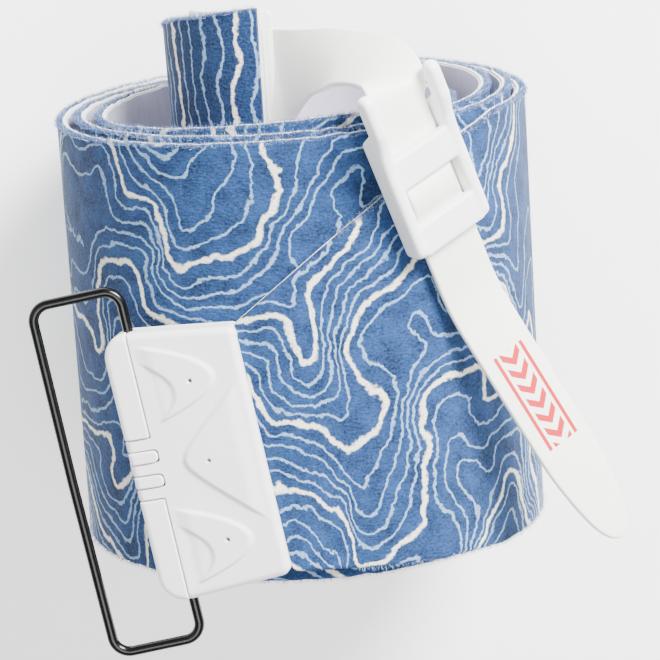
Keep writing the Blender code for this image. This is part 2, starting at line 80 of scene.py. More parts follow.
def srgb(code):
    """The linear colour of an sRGB hex value."""
    parts = [int(code[i:i + 2], 16) / 255 for i in (1, 3, 5)]
    return (*[p / 12.92 if p <= 0.04045 else ((p + 0.055) / 1.055) ** 2.4 for p in parts], 1.0)


class SkinSizes(bpy.types.PropertyGroup):
    """Sizes and colours of the wound skin."""

    radius: FloatProperty(name="Roll radius", description="Outer radius of the roll", default=0.0725,
                          unit="LENGTH")
    width: FloatProperty(name="Skin width", description="Width of the skin", default=0.130, unit="LENGTH")
    thickness: FloatProperty(name="Skin thickness", description="Pile, base and film together",
                             default=0.0032, unit="LENGTH")
    station: FloatProperty(name="Station", description="Distance between cross-sections along the skin",
                           default=0.0030, unit="LENGTH")
    fibre_length: FloatProperty(name="Fibre length", description="Length of the pile at a cut edge",
                                default=0.0024, unit="LENGTH")
    fibre_spacing: FloatProperty(name="Fibre density", description="Fibres on a square metre of cut edge",
                                 default=1.15e7)
    seed: IntProperty(name="Seed", description="Seed of the fibres' scatter", default=7)
    # pile_dark is also the colour that the painted shade over the tail darkens the pile towards
    pile_dark: FloatVectorProperty(
        name="Pile, dark", description="Pile where the nap lies away from the light", default=srgb("#081633"),
        size=4, min=0.0, max=1.0, subtype="COLOR")
    pile_light: FloatVectorProperty(
        name="Pile, light", description="Pile where the nap lies towards the light", default=srgb("#213F6C"),
        size=4, min=0.0, max=1.0, subtype="COLOR")
    thin_line: FloatVectorProperty(name="Thin lines", description="Print of the contour at every level",
        default=srgb("#94B2D3"), size=4, min=0.0, max=1.0, subtype="COLOR")
    index_line: FloatVectorProperty(
        name="Wide lines", description="Print of the contour at every fifth level", default=srgb("#EDE9D8"),
        size=4, min=0.0, max=1.0, subtype="COLOR")
    film_colour: FloatVectorProperty(name="Film", description="Film over the glue, where it is palest",
        default=srgb("#C9C6D6"), size=4, min=0.0, max=1.0, subtype="COLOR")


class BracketSizes(bpy.types.PropertyGroup):
    """Sizes and colours of the tip bracket and its wire."""

    width: FloatProperty(name="Width", description="From the hinge side to the mouth", default=0.040,
                         unit="LENGTH")
    long_side: FloatProperty(name="Hinge side", description="Length along the wire", default=0.081,
                             unit="LENGTH")
    short_side: FloatProperty(name="Mouth side", description="Length along the skin's tip", default=0.075,
                              unit="LENGTH")
    relief: FloatProperty(name="Relief", description="Height of the moulded hills", default=0.0008,
                          unit="LENGTH")
    wire_radius: FloatProperty(name="Wire radius", description="Radius of the bail's wire", default=0.0015,
                               unit="LENGTH")
    voxel: FloatProperty(name="Mesh size", description="Cell of the moulded shells' mesh",
                         default=0.00034, unit="LENGTH")
    shell_colour: FloatVectorProperty(name="Shells", description="Moulded shells and buckle",
        default=srgb("#F4F4F5"), size=4, min=0.0, max=1.0, subtype="COLOR")
    wire_colour: FloatVectorProperty(name="Wire", description="Powder coat of the wire, where it is palest",
        default=srgb("#050506"), size=4, min=0.0, max=1.0, subtype="COLOR")


class StrapSizes(bpy.types.PropertyGroup):
    """Sizes and colours of the tail strap, and the mesh size of its buckle."""

    width: FloatProperty(name="Width", description="Width of the strap", default=0.019, unit="LENGTH")
    thickness: FloatProperty(name="Thickness", description="Thickness of the strap", default=0.0020,
                             unit="LENGTH")
    edge_radius: FloatProperty(name="Edge radius", description="Rounding of the strap's edges",
                               default=0.0007, unit="LENGTH")
    voxel: FloatProperty(name="Mesh size", description="Cell of the buckle's mesh", default=0.00036,
                         unit="LENGTH")
    strap_colour: FloatVectorProperty(name="Strap", description="Elastomer of the strap, where it is palest",
        default=srgb("#F5F5F0"), size=4, min=0.0, max=1.0, subtype="COLOR")
    ink_colour: FloatVectorProperty(name="Ink", description="Ink of the lines and chevrons",
        default=srgb("#BC1420"), size=4, min=0.0, max=1.0, subtype="COLOR")


# --- frames --------------------------------------------------------------------------------------

def roll_matrix():
    """From the roll's own frame to the part's: turned half round about Z, up on its axis height."""
    middle = Matrix.Translation((0, bpy.context.scene.skin.width / 2, AXIS_HEIGHT))
    return middle @ Matrix.Rotation(math.pi, 4, "Z")


def tangent_frame(azimuth, offset, height, radius, tilt):
    """A frame on the roll: x across, y up the roll and z out of it."""
    turned = Matrix.Rotation(math.radians(azimuth), 4, "Y")
    return turned @ Matrix.Translation((offset, height, radius)) @ Matrix.Rotation(math.radians(tilt), 4, "Z")


BRACKET_FRAME = tangent_frame(-14.0, -0.0137, 0.039, 0.0733, 9.5)
BUCKLE_FRAME = tangent_frame(34.0, -0.0096, 0.1275, 0.0757, 21.4)


# --- mesh helpers --------------------------------------------------------------------------------

def mesh_object(name, mesh):
    thing = bpy.data.objects.new(name, mesh)
    bpy.context.scene.collection.objects.link(thing)
    return thing


def faces_to_object(name, points, faces):
    """An object from points and faces, with its faces turned outwards."""
    mesh = bpy.data.meshes.new(name)
    mesh.from_pydata([tuple(p) for p in points], [], faces)
    shape = bmesh.new()
    shape.from_mesh(mesh)
    bmesh.ops.recalc_face_normals(shape, faces=shape.faces)
    shape.to_mesh(mesh)
    shape.free()
    return mesh_object(name, mesh)


def loft_faces(rings, count):
    """Faces of a closed solid through rings of count points each, flat at both ends."""
    faces = [tuple(range(count)), tuple(range((rings - 1) * count, rings * count))]
    for r in range(rings - 1):
        for i in range(count):
            j = (i + 1) % count
            faces.append((r * count + i, r * count + j, (r + 1) * count + j, (r + 1) * count + i))
    return faces


def prism(name, outline, low, high):
    points = [(x, y, z) for z in (low, high) for x, y in outline]
    return faces_to_object(name, points, loft_faces(2, len(outline)))


def box(name, low, high):
    outline = [(low[0], low[1]), (high[0], low[1]), (high[0], high[1]), (low[0], high[1])]
    return prism(name, outline, low[2], high[2])


def arc(center, radius, start, end, steps):
    angles = [math.radians(start + (end - start) * i / steps) for i in range(steps + 1)]
    return [(center[0] + radius * math.cos(t), center[1] + radius * math.sin(t)) for t in angles]


def rounded_box(name, low, high, radius, segments=4):
    thing = box(name, low, high)
    bevel_edges(thing, radius, segments)
    return thing


def bevel_edges(thing, radius, segments, chosen=lambda edge: True):
    shape = bmesh.new()
    shape.from_mesh(thing.data)
    edges = [e for e in shape.edges if len(e.link_faces) == 2 and e.calc_face_angle(0) > 0.35 and chosen(e)]
    bmesh.ops.bevel(shape, geom=edges, offset=radius, segments=segments, profile=0.5, affect="EDGES",
                    clamp_overlap=True)
    shape.to_mesh(thing.data)
    shape.free()


def combine(thing, operation, other):
    """A Boolean that is applied at once; the other mesh goes."""
    modifier = thing.modifiers.new(operation, "BOOLEAN")
    modifier.operation = operation
    modifier.object = other
    modifier.solver = "EXACT"
    settle(thing)
    bpy.data.objects.remove(other, do_unlink=True)


def settle(thing):
    """Turns the modified object into a plain mesh."""
    graph = bpy.context.evaluated_depsgraph_get()
    mesh = bpy.data.meshes.new_from_object(thing.evaluated_get(graph))
    thing.modifiers.clear()
    old, thing.data = thing.data, mesh
    bpy.data.meshes.remove(old)
    mesh.name = thing.name


def mould(thing, voxel, passes):
    """An even mesh over the whole solid with its edges softened, as a moulded piece has them."""
    remesh = thing.modifiers.new("Mould", "REMESH")
    remesh.mode = "VOXEL"
    remesh.voxel_size = voxel
    smooth = thing.modifiers.new("Soften", "SMOOTH")
    smooth.factor = 0.5
    smooth.iterations = passes
    settle(thing)
    thing.data.shade_smooth()


def place(thing, matrix, material):
    """Moves a finished mesh from its own frame into the part's, and gives it its material."""
    thing.data.transform(roll_matrix() @ matrix)
    thing.matrix_world = Matrix.Identity(4)
    thing.data.materials.clear()
    thing.data.materials.append(material)
    return thing


def smooth_step(share):
    share = np.clip(share, 0.0, 1.0)
    return share * share * (3 - 2 * share)


# --- materials -----------------------------------------------------------------------------------

def add_node(tree, kind, inputs=None, output=None, **settings):
    """Adds a node, gives it its settings, and links or sets its inputs, which are a list in order or a dict
    by name or number. Returns the chosen output, or the node."""
    made = tree.nodes.new(kind)
    for name, value in settings.items():
        setattr(made, name, value)
    for key, value in inputs.items() if isinstance(inputs, dict) else enumerate(inputs or ()):
        if isinstance(value, bpy.types.NodeSocket):
            tree.links.new(value, made.inputs[key])
        else:
            made.inputs[key].default_value = value
    return made if output is None else made.outputs[output]


def new_material(name, **shader_values):
    """A material with its Principled shader's own values set; returns it, its tree and its shader."""
    material = bpy.data.materials.new(name)
    material.use_nodes = True
    tree = material.node_tree
    shader = tree.nodes["Principled BSDF"]
    for key, value in shader_values.items():
        shader.inputs[key.replace("_", " ")].default_value = value
    return material, tree, shader


# The printed land is a long slope with rolling waves across it. Each wave has its turns to the metre
# along and across the skin, its start in turns, and its height in contours.
LAND_RISE = 145.0
WAVES = (
    (11.3, 5.2, 0.08, 2.6),
    (25.0, -14.0, 0.55, 0.75),
    (4.7, 1.8, 0.30, 1.5),
    (38.0, 9.0, 0.20, 0.30),
)
# Its steep slopes: start and end along the skin, and contours to the metre. On a slope the rise across
# the skin fades to a small share over the easing length.
SLOPES = ((0.078, 0.125, 150.0), (1.33, 1.60, 215.0))
SLOPE_EASE, SLOPE_SHARE = 0.018, 0.15
# The contour lines: their widths, the levels from one wide line to the next, the step over which the
# land's slope is taken, and the least slope, in contours to the metre, that a line's width is set by.
THIN_LINE, WIDE_LINE, WIDE_EVERY = 0.00075, 0.0015, 5
GRADIENT_STEP, LEAST_SLOPE = 0.0008, 45.0


def land_group():
    """A node group for the height of the printed land, in contours, at a place on the skin."""
    group = bpy.data.node_groups.new("printed_land", "ShaderNodeTree")
    group.interface.new_socket("Place", in_out="INPUT", socket_type="NodeSocketVector")
    group.interface.new_socket("Height", in_out="OUTPUT", socket_type="NodeSocketFloat")
    ends = group.nodes.new("NodeGroupInput"), group.nodes.new("NodeGroupOutput")
    where = ends[0].outputs[0]
    bend = add_node(
        group, "ShaderNodeTexNoise", {"Vector": where, "Scale": 21.0, "Detail": 1.0, "Roughness": 0.4}, 1)
    bend = add_node(group, "ShaderNodeVectorMath", {0: bend, 1: (0.5, 0.5, 0.5)}, 0, operation="SUBTRACT")
    bent = add_node(
        group, "ShaderNodeVectorMath",
        {
            0: add_node(
                group, "ShaderNodeVectorMath", [bend, (0.055, 0.055, 0.0)], 0, operation="MULTIPLY"),
            1: where}, 0, operation="ADD")
    across = add_node(group, "ShaderNodeSeparateXYZ", {0: where}).outputs
    middle = bpy.context.scene.skin.width / 2
    height = add_node(
        group, "ShaderNodeMath",
        [add_node(group, "ShaderNodeMath", [across[1], middle], 0, operation="SUBTRACT"), LAND_RISE], 0,
        operation="MULTIPLY")
    for along_turns, across_turns, start, rise in WAVES:
        phase = add_node(
            group, "ShaderNodeVectorMath", {0: bent, 1: (along_turns, across_turns, 0)}, 1,
            operation="DOT_PRODUCT")
        phase = add_node(
            group, "ShaderNodeMath",
            [add_node(group, "ShaderNodeMath", [phase, start], 0, operation="ADD"), 2 * math.pi], 0,
            operation="MULTIPLY")
        height = add_node(
            group, "ShaderNodeMath",
            [add_node(group, "ShaderNodeMath", [phase], 0, operation="SINE"), rise, height], 0,
            operation="MULTIPLY_ADD")
    for start, end, _ in SLOPES:
        # on a steep slope the contours run across the skin, so the rise across it fades out there
        kept = add_node(
            group, "ShaderNodeMapRange",
            {
                "Value": across[0], "From Min": start - SLOPE_EASE, "From Max": start + SLOPE_EASE,
                "To Min": 1.0, "To Max": SLOPE_SHARE}, 0, interpolation_type="SMOOTHSTEP")
        back = add_node(
            group, "ShaderNodeMapRange",
            {
                "Value": across[0], "From Min": end - SLOPE_EASE, "From Max": end + SLOPE_EASE,
                "To Min": 0.0, "To Max": 1 - SLOPE_SHARE}, 0, interpolation_type="SMOOTHSTEP")
        height = add_node(
            group, "ShaderNodeMath",
            [height, add_node(group, "ShaderNodeMath", [kept, back], 0, operation="ADD")], 0,
            operation="MULTIPLY")
    for start, end, rise in SLOPES:
        climb = add_node(group, "ShaderNodeMapRange", {"Value": across[0], "From Min": start, "From Max": end,
                                                       "To Min": 0.0, "To Max": (end - start) * rise}, 0)
        height = add_node(group, "ShaderNodeMath", [height, climb], 0, operation="ADD")
    group.links.new(height, ends[1].inputs[0])
    return group


def contour_mask(tree, height, slope, every, width):
    """White where a contour of this width runs, one for each so many steps of height."""
    level = add_node(tree, "ShaderNodeMath", [height, float(every)], 0, operation="DIVIDE")
    level = add_node(
        tree, "ShaderNodeMath", [add_node(tree, "ShaderNodeMath", [level, 0.5], 0, operation="ADD")], 0,
        operation="FRACT")
    level = add_node(
        tree, "ShaderNodeMath", [add_node(tree, "ShaderNodeMath", [level, 0.5], 0, operation="SUBTRACT")],
        0, operation="ABSOLUTE")
    away = add_node(
        tree, "ShaderNodeMath",
        [add_node(tree, "ShaderNodeMath", [level, float(every)], 0, operation="MULTIPLY"), slope], 0,
        operation="DIVIDE")
    soft = width * 0.45
    made = add_node(
        tree, "ShaderNodeMapRange",
        {
            "Value": away, "From Min": width / 2 - soft / 2, "From Max": width / 2 + soft / 2,
            "To Min": 1.0, "To Max": 0.0}, interpolation_type="SMOOTHSTEP")
    return made.outputs[0]


def pile_material():
    """Nylon pile, cut and printed: matt, with the nap lying in patches, contour lines in the print, and
    painted shade darkening the tail.
    """
    material, tree, shader = new_material("printed_nylon_pile", Roughness=0.86, Sheen_Weight=0.06,
                                          Sheen_Roughness=0.45, Specular_IOR_Level=0.18)
    sizes = bpy.context.scene.skin
    flat = add_node(tree, "ShaderNodeUVMap", None, 0, uv_map="skin")
    # each fibre leans its own way, which frays the print's edges by about 0.3 mm
    fray = add_node(
        tree, "ShaderNodeTexNoise", {"Vector": flat, "Scale": 900.0, "Detail": 1.0, "Roughness": 0.5}, 1)
    fray = add_node(tree, "ShaderNodeVectorMath", {0: fray, 1: (0.5, 0.5, 0.5)}, 0, operation="SUBTRACT")
    wander = add_node(
        tree, "ShaderNodeTexNoise", {"Vector": flat, "Scale": 90.0, "Detail": 3.0, "Roughness": 0.55}, 1)
    wander = add_node(tree, "ShaderNodeVectorMath", {0: wander, 1: (0.5, 0.5, 0.5)}, 0, operation="SUBTRACT")
    where = add_node(
        tree, "ShaderNodeVectorMath",
        {
            0: add_node(tree, "ShaderNodeVectorMath", [fray, (0.0009,) * 3], 0, operation="MULTIPLY"),
            1: flat}, 0, operation="ADD")
    where = add_node(
        tree, "ShaderNodeVectorMath",
        {
            0: add_node(tree, "ShaderNodeVectorMath", [wander, (0.0075,) * 3], 0, operation="MULTIPLY"),
            1: where}, 0, operation="ADD")
    land = land_group()
    heights = []
    for shift in ((0, 0, 0), (GRADIENT_STEP, 0, 0), (0, GRADIENT_STEP, 0)):
        moved = add_node(tree, "ShaderNodeVectorMath", {0: where, 1: shift}, 0, operation="ADD")
        heights.append(add_node(tree, "ShaderNodeGroup", [moved], 0, node_tree=land))
    here, right, up = heights
    rises = []
    for there in (right, up):
        rise = add_node(tree, "ShaderNodeMath", [there, here], 0, operation="SUBTRACT")
        rises.append(add_node(tree, "ShaderNodeMath", [rise, 2.0], 0, operation="POWER"))
    slope = add_node(
        tree, "ShaderNodeMath", [add_node(tree, "ShaderNodeMath", rises, 0, operation="ADD")], 0,
        operation="SQRT")
    slope = add_node(
        tree, "ShaderNodeMath",
        [add_node(tree, "ShaderNodeMath", [slope, GRADIENT_STEP], 0, operation="DIVIDE"), LEAST_SLOPE], 0,
        operation="MAXIMUM")
    thin = contour_mask(tree, here, slope, 1, THIN_LINE)
    thick = contour_mask(tree, here, slope, WIDE_EVERY, WIDE_LINE)
    # the nap: patches about 8 mm wide, and streaks of fibres that lie along the skin
    patches = add_node(
        tree, "ShaderNodeTexNoise", {"Vector": flat, "Scale": 120.0, "Detail": 3.0, "Roughness": 0.6}, 0)
    streaks = add_node(
        tree, "ShaderNodeTexNoise",
        {
            "Vector": add_node(
                tree, "ShaderNodeVectorMath", [flat, (0.6, 1.6, 1.0)], 0, operation="MULTIPLY"),
            "Scale": 1000.0, "Detail": 2.0, "Roughness": 0.6}, 0)
    nap = add_node(
        tree, "ShaderNodeMath",
        [
            add_node(tree, "ShaderNodeMath", [patches, 0.75], 0, operation="MULTIPLY"),
            add_node(tree, "ShaderNodeMath", [streaks, 0.45], 0, operation="MULTIPLY")], 0,
        operation="ADD")
    nap = add_node(tree, "ShaderNodeMapRange", {"Value": nap, "From Min": 0.44, "From Max": 0.74}, 0)
    # painted shade: from u 1.25 to 1.35 onward the tail's pile is pushed towards the dark pile colour,
    # standing in for the shade the tail lies in
    place_u = add_node(tree, "ShaderNodeSeparateXYZ", {0: flat}, 0)
    away = add_node(tree, "ShaderNodeMapRange", {"Value": place_u, "From Min": 1.25, "From Max": 1.35,
                                                 "To Min": 1.0, "To Max": 0.35}, 0)
    nap = add_node(tree, "ShaderNodeMath", [nap, away], 0, operation="MULTIPLY")
    # the pile's blue carries the painted shade over the tail as well as the nap's random patches
    blue = add_node(
        tree, "ShaderNodeMix", {"Factor": nap, 6: sizes.pile_dark, 7: sizes.pile_light}, 2,
        data_type="RGBA")
    # the weave under the nap shows as a fine light and dark grain
    weave = add_node(
        tree, "ShaderNodeTexNoise", {"Vector": flat, "Scale": 1300.0, "Detail": 1.0, "Roughness": 0.5}, 0)
    weave = add_node(tree, "ShaderNodeMapRange", {"Value": weave, "From Min": 0.32, "From Max": 0.68,
                                                  "To Min": 0.0, "To Max": 0.20}, 0)
    blue = add_node(
        tree, "ShaderNodeMix", {"Factor": weave, 6: blue, 7: srgb("#4B70A2")}, 2, data_type="RGBA")
    grain = add_node(
        tree, "ShaderNodeTexNoise", {"Vector": flat, "Scale": 1500.0, "Detail": 1.0, "Roughness": 0.5}, 0)
    grain = add_node(tree, "ShaderNodeMapRange", {"Value": grain, "From Min": 0.3, "From Max": 0.7,
                                                  "To Min": 0.62, "To Max": 1.0}, 0)
    colour = add_node(
        tree, "ShaderNodeMix",
        {
            "Factor": add_node(
                tree, "ShaderNodeMath",
                [thin, add_node(tree, "ShaderNodeMath", [grain, 0.80], 0, operation="MULTIPLY")], 0,
                operation="MULTIPLY"), 6: blue, 7: sizes.thin_line}, 2, data_type="RGBA")
    colour = add_node(
        tree, "ShaderNodeMix",
        {
            "Factor": add_node(tree, "ShaderNodeMath", [thick, grain], 0, operation="MULTIPLY"),
            6: colour, 7: sizes.index_line}, 2, data_type="RGBA")
    tree.links.new(colour, shader.inputs["Base Color"])
    relief = add_node(
        tree, "ShaderNodeMath",
        [
            add_node(tree, "ShaderNodeMath", [streaks, 0.6], 0, operation="MULTIPLY"),
            add_node(tree, "ShaderNodeMath", [patches, 1.2], 0, operation="MULTIPLY")], 0, operation="ADD")
    tree.links.new(
        add_node(tree, "ShaderNodeBump", {"Height": relief, "Distance": 0.0007, "Strength": 0.8}, 0),
        shader.inputs["Normal"])
    return material


def fibre_material():
    """Loose nylon fibres at a cut edge: each its own blue, some bleached by the print."""
    material, tree, shader = new_material("cut_pile_fibres", Roughness=0.8, Sheen_Weight=0.2)
    shade = add_node(tree, "ShaderNodeAttribute", None, "Fac", attribute_name="fibre_shade")
    ramp = add_node(tree, "ShaderNodeValToRGB", {0: shade})
    ramp.color_ramp.elements[0].color = srgb("#16356B")
    ramp.color_ramp.elements[1].color = srgb("#C9D8EA")
    middle = ramp.color_ramp.elements.new(0.7)
    middle.color = srgb("#44699F")
    tree.links.new(ramp.outputs[0], shader.inputs["Base Color"])
    return material


def base_material():
    """Woven polyester base cloth, unbleached: the threads show as a fine cross weave at the cut edge."""
    material, tree, shader = new_material("woven_base_cloth", Roughness=0.85, Specular_IOR_Level=0.25)
    flat = add_node(tree, "ShaderNodeUVMap", None, 0, uv_map="skin")
    warp = add_node(
        tree, "ShaderNodeTexNoise",
        {
            "Vector": add_node(
                tree, "ShaderNodeVectorMath", [flat, (1.0, 4.0, 1.0)], 0, operation="MULTIPLY"),
            "Scale": 900.0, "Detail": 2.0, "Roughness": 0.6}, 0)
    colour = add_node(
        tree, "ShaderNodeMix", {"Factor": warp, 6: srgb("#D9D6CC"), 7: srgb("#FBFAF4")}, 2,
        data_type="RGBA")
    tree.links.new(colour, shader.inputs["Base Color"])
    tree.links.new(
        add_node(tree, "ShaderNodeBump", {"Height": warp, "Distance": 0.0003, "Strength": 0.8}, 0),
        shader.inputs["Normal"])
    return material


def film_material():
    """Polyethylene film over the glue: lavender grey, satin, with the glue's slight unevenness under it."""
    material, tree, shader = new_material("glue_side_film", Roughness=0.34, Specular_IOR_Level=0.5)
    flat = add_node(tree, "ShaderNodeUVMap", None, 0, uv_map="skin")
    cloud = add_node(
        tree, "ShaderNodeTexNoise", {"Vector": flat, "Scale": 55.0, "Detail": 3.0, "Roughness": 0.55}, 0)
    colour = add_node(
        tree, "ShaderNodeMix",
        {"Factor": cloud, 6: srgb("#A19EB2"), 7: bpy.context.scene.skin.film_colour}, 2, data_type="RGBA")
    tree.links.new(colour, shader.inputs["Base Color"])
    ripple = add_node(
        tree, "ShaderNodeTexNoise",
        {
            "Vector": add_node(
                tree, "ShaderNodeVectorMath", [flat, (1.0, 0.35, 1.0)], 0, operation="MULTIPLY"),
            "Scale": 160.0, "Detail": 2.0, "Roughness": 0.5}, 0)
    tree.links.new(
        add_node(tree, "ShaderNodeBump", {"Height": ripple, "Distance": 0.0009, "Strength": 0.5}, 0),
        shader.inputs["Normal"])
    return material


def moulded_material(name, colour, shade, roughness):
    """Injection-moulded plastic: nearly even, with a fine spark-eroded grain and faint flow marks."""
    material, tree, shader = new_material(name, Roughness=roughness, Specular_IOR_Level=0.5,
                                          Subsurface_Weight=0.05)
    shader.inputs["Subsurface Radius"].default_value = (0.002, 0.002, 0.002)
    where = add_node(tree, "ShaderNodeTexCoord", None, "Object")
    flow = add_node(
        tree, "ShaderNodeTexNoise", {"Vector": where, "Scale": 45.0, "Detail": 2.0, "Roughness": 0.5}, 0)
    tree.links.new(
        add_node(tree, "ShaderNodeMix", {"Factor": flow, 6: srgb(shade), 7: colour}, 2, data_type="RGBA"),
        shader.inputs["Base Color"])
    grain = add_node(
        tree, "ShaderNodeTexNoise", {"Vector": where, "Scale": 2600.0, "Detail": 1.0, "Roughness": 0.5}, 0)
    tree.links.new(
        add_node(tree, "ShaderNodeBump", {"Height": grain, "Distance": 0.00004, "Strength": 0.5}, 0),
        shader.inputs["Normal"])
    return material


def wire_material():
    """Steel wire under black powder coat: fine orange peel and a soft gloss."""
    material, tree, shader = new_material("coated_steel_wire", Roughness=0.22, Specular_IOR_Level=0.35)
    where = add_node(tree, "ShaderNodeTexCoord", None, "Object")
    peel = add_node(
        tree, "ShaderNodeTexNoise", {"Vector": where, "Scale": 900.0, "Detail": 2.0, "Roughness": 0.5}, 0)
    tree.links.new(
        add_node(
            tree, "ShaderNodeMix",
            {"Factor": peel, 6: srgb("#010102"), 7: bpy.context.scene.bracket.wire_colour}, 2,
            data_type="RGBA"), shader.inputs["Base Color"])
    tree.links.new(
        add_node(tree, "ShaderNodeBump", {"Height": peel, "Distance": 0.00006, "Strength": 0.6}, 0),
        shader.inputs["Normal"])
    return material


def brass_material():
    """Turned brass pin ends, dulled."""
    material, tree, shader = new_material("dull_brass", Metallic=1.0, Roughness=0.42)
    where = add_node(tree, "ShaderNodeTexCoord", None, "Object")
    tarnish = add_node(
        tree, "ShaderNodeTexNoise", {"Vector": where, "Scale": 1200.0, "Detail": 2.0, "Roughness": 0.5}, 0)
    tree.links.new(
        add_node(
            tree, "ShaderNodeMix", {"Factor": tarnish, 6: srgb("#6B4A2A"), 7: srgb("#A98255")}, 2,
            data_type="RGBA"), shader.inputs["Base Color"])
    return material


# The strap's print: its middle and half length along the strap, the two lines' place and half width
# across it, and the chevrons' pitch, slant and half width.
PRINT_MIDDLE, PRINT_HALF = 0.163, 0.0158
LINE_PLACE, LINE_HALF = 0.0050, 0.0006
CHEVRON_PITCH, CHEVRON_SLANT, CHEVRON_HALF = 0.0050, 0.9, 0.0034


def strap_material():
    """Moulded elastomer: off white and satin, with a plain red stripe-and-chevron print near its end."""
    material, tree, shader = new_material("elastomer_strap", Roughness=0.42, Specular_IOR_Level=0.45,
                                          Subsurface_Weight=0.06)
    shader.inputs["Subsurface Radius"].default_value = (0.002, 0.002, 0.0018)
    flat = add_node(tree, "ShaderNodeUVMap", None, 0, uv_map="strap")
    x, y, _ = add_node(tree, "ShaderNodeSeparateXYZ", {0: flat}).outputs
    cloud = add_node(
        tree, "ShaderNodeTexNoise", {"Vector": flat, "Scale": 60.0, "Detail": 2.0, "Roughness": 0.5}, 0)
    colour = add_node(
        tree, "ShaderNodeMix",
        {"Factor": cloud, 6: srgb("#E9E9E2"), 7: bpy.context.scene.strap.strap_colour}, 2,
        data_type="RGBA")
    across = add_node(tree, "ShaderNodeMath", [x], 0, operation="ABSOLUTE")
    centred = add_node(
        tree, "ShaderNodeMath",
        [add_node(tree, "ShaderNodeMath", [y, PRINT_MIDDLE], 0, operation="SUBTRACT")], 0,
        operation="ABSOLUTE")
    lines = add_node(
        tree, "ShaderNodeMath",
        [add_node(tree, "ShaderNodeMath", [across, LINE_PLACE], 0, operation="SUBTRACT")], 0,
        operation="ABSOLUTE")
    lines = add_node(tree, "ShaderNodeMath", [lines, LINE_HALF], 0, operation="LESS_THAN")
    wave = add_node(tree, "ShaderNodeMath", [across, CHEVRON_SLANT, y], 0, operation="MULTIPLY_ADD")
    wave = add_node(
        tree, "ShaderNodeMath",
        [add_node(tree, "ShaderNodeMath", [wave, CHEVRON_PITCH], 0, operation="DIVIDE")], 0,
        operation="FRACT")
    chevrons = add_node(
        tree, "ShaderNodeMath",
        [
            add_node(tree, "ShaderNodeMath", [wave, 0.5], 0, operation="LESS_THAN"),
            add_node(tree, "ShaderNodeMath", [across, CHEVRON_HALF], 0, operation="LESS_THAN")], 0,
        operation="MULTIPLY")
    ink = add_node(tree, "ShaderNodeMath", [lines, chevrons], 0, operation="MAXIMUM")
    ink = add_node(
        tree, "ShaderNodeMath",
        [ink, add_node(tree, "ShaderNodeMath", [centred, PRINT_HALF], 0, operation="LESS_THAN")], 0,
        operation="MULTIPLY")
    outer = add_node(tree, "ShaderNodeAttribute", None, "Fac", attribute_name="outer_face")
    ink = add_node(tree, "ShaderNodeMath", [ink, outer], 0, operation="MULTIPLY")
    colour = add_node(
        tree, "ShaderNodeMix", {"Factor": ink, 6: colour, 7: bpy.context.scene.strap.ink_colour}, 2,
        data_type="RGBA")
    tree.links.new(colour, shader.inputs["Base Color"])
    grain = add_node(
        tree, "ShaderNodeTexNoise", {"Vector": flat, "Scale": 1800.0, "Detail": 1.0, "Roughness": 0.5}, 0)
    tree.links.new(
        add_node(tree, "ShaderNodeBump", {"Height": grain, "Distance": 0.00005, "Strength": 0.5}, 0),
        shader.inputs["Normal"])
    return material


# --- the wound skin ------------------------------------------------------------------------------

# Between the turns where they lie flat; how ragged the cut edges are, and how quickly that changes.
TURN_GAP = 0.0003
RAGGED, RAGGED_TURNS = 0.0006, 95.0
# The tip's run from the seam to the bracket's mouth, how far it goes into the pocket, and the half
# width of the pocket.
TIP_RUN, TIP_INSIDE, POCKET_HALF, MOUTH_GAP = 0.0355, 0.006, 0.0335, 0.0002

def wound_radius(turn, sizes):
    wound = np.minimum(turn, WOUND_TURNS)
    radius = sizes.radius - FIRST_TURN_DROP * np.minimum(wound, 1.0)
    radius = radius - TURN_PITCH * np.maximum(wound - 1.0, 0.0)
    share = np.maximum(turn - WOUND_TURNS, 0.0) / (TAIL_TURN - WOUND_TURNS)
    return radius + (CORE_END_RADIUS - radius) * share


def slack(turn):
    """How the loosely wound inner turns ride up and down, by up to a millimetre or so."""
    azimuth = np.radians(SEAM_AZIMUTH + 360 * turn)
    loose = np.clip(turn - 1.0, 0.0, 2.0)
    return 0.0006 * loose * np.sin(1.7 * azimuth + 0.8), 0.0004 * loose * np.sin(2.3 * azimuth)


def raggedness(turns):
    """How far the cut edges stray at these turns."""
    return np.array([noise.noise(Vector((t * RAGGED_TURNS, 3.1, 0))) for t in turns]) * RAGGED


def top_edge(turn, sizes):
    azimuth = SEAM_AZIMUTH + 360 * turn
    rise = TAIL_RISE * smooth_step((turn - TAIL_RISE_START) / (TAIL_TURN - TAIL_RISE_START))
    share = np.clip((TIP_TAPER_END - azimuth) / (TIP_TAPER_END - TIP_TAPER_START), 0.0, 2.0)
    lean = 0.0016 * np.sin(np.radians(azimuth)) * np.clip(turn * 4 - 2, 0, 1)
    telescoped = 0.0009 * np.clip(turn - 1.0, 0.0, 2.0)
    return sizes.width + rise - TIP_TAPER_DROP * share ** TIP_TAPER_POWER + (lean + telescoped) * (turn < 3.1)


def bottom_edge(turn, sizes):
    azimuth = SEAM_AZIMUTH + 360 * turn
    foot = TIP_FOOT_RISE * np.maximum(0.0, (TIP_FOOT_END - azimuth) / (TIP_FOOT_END - TIP_TAPER_START))
    cut = sizes.width + TAIL_RISE - TAIL_CUT_WIDTH
    return foot + cut * smooth_step((turn - TAIL_CUT_START) / (TAIL_TURN - TAIL_CUT_START))


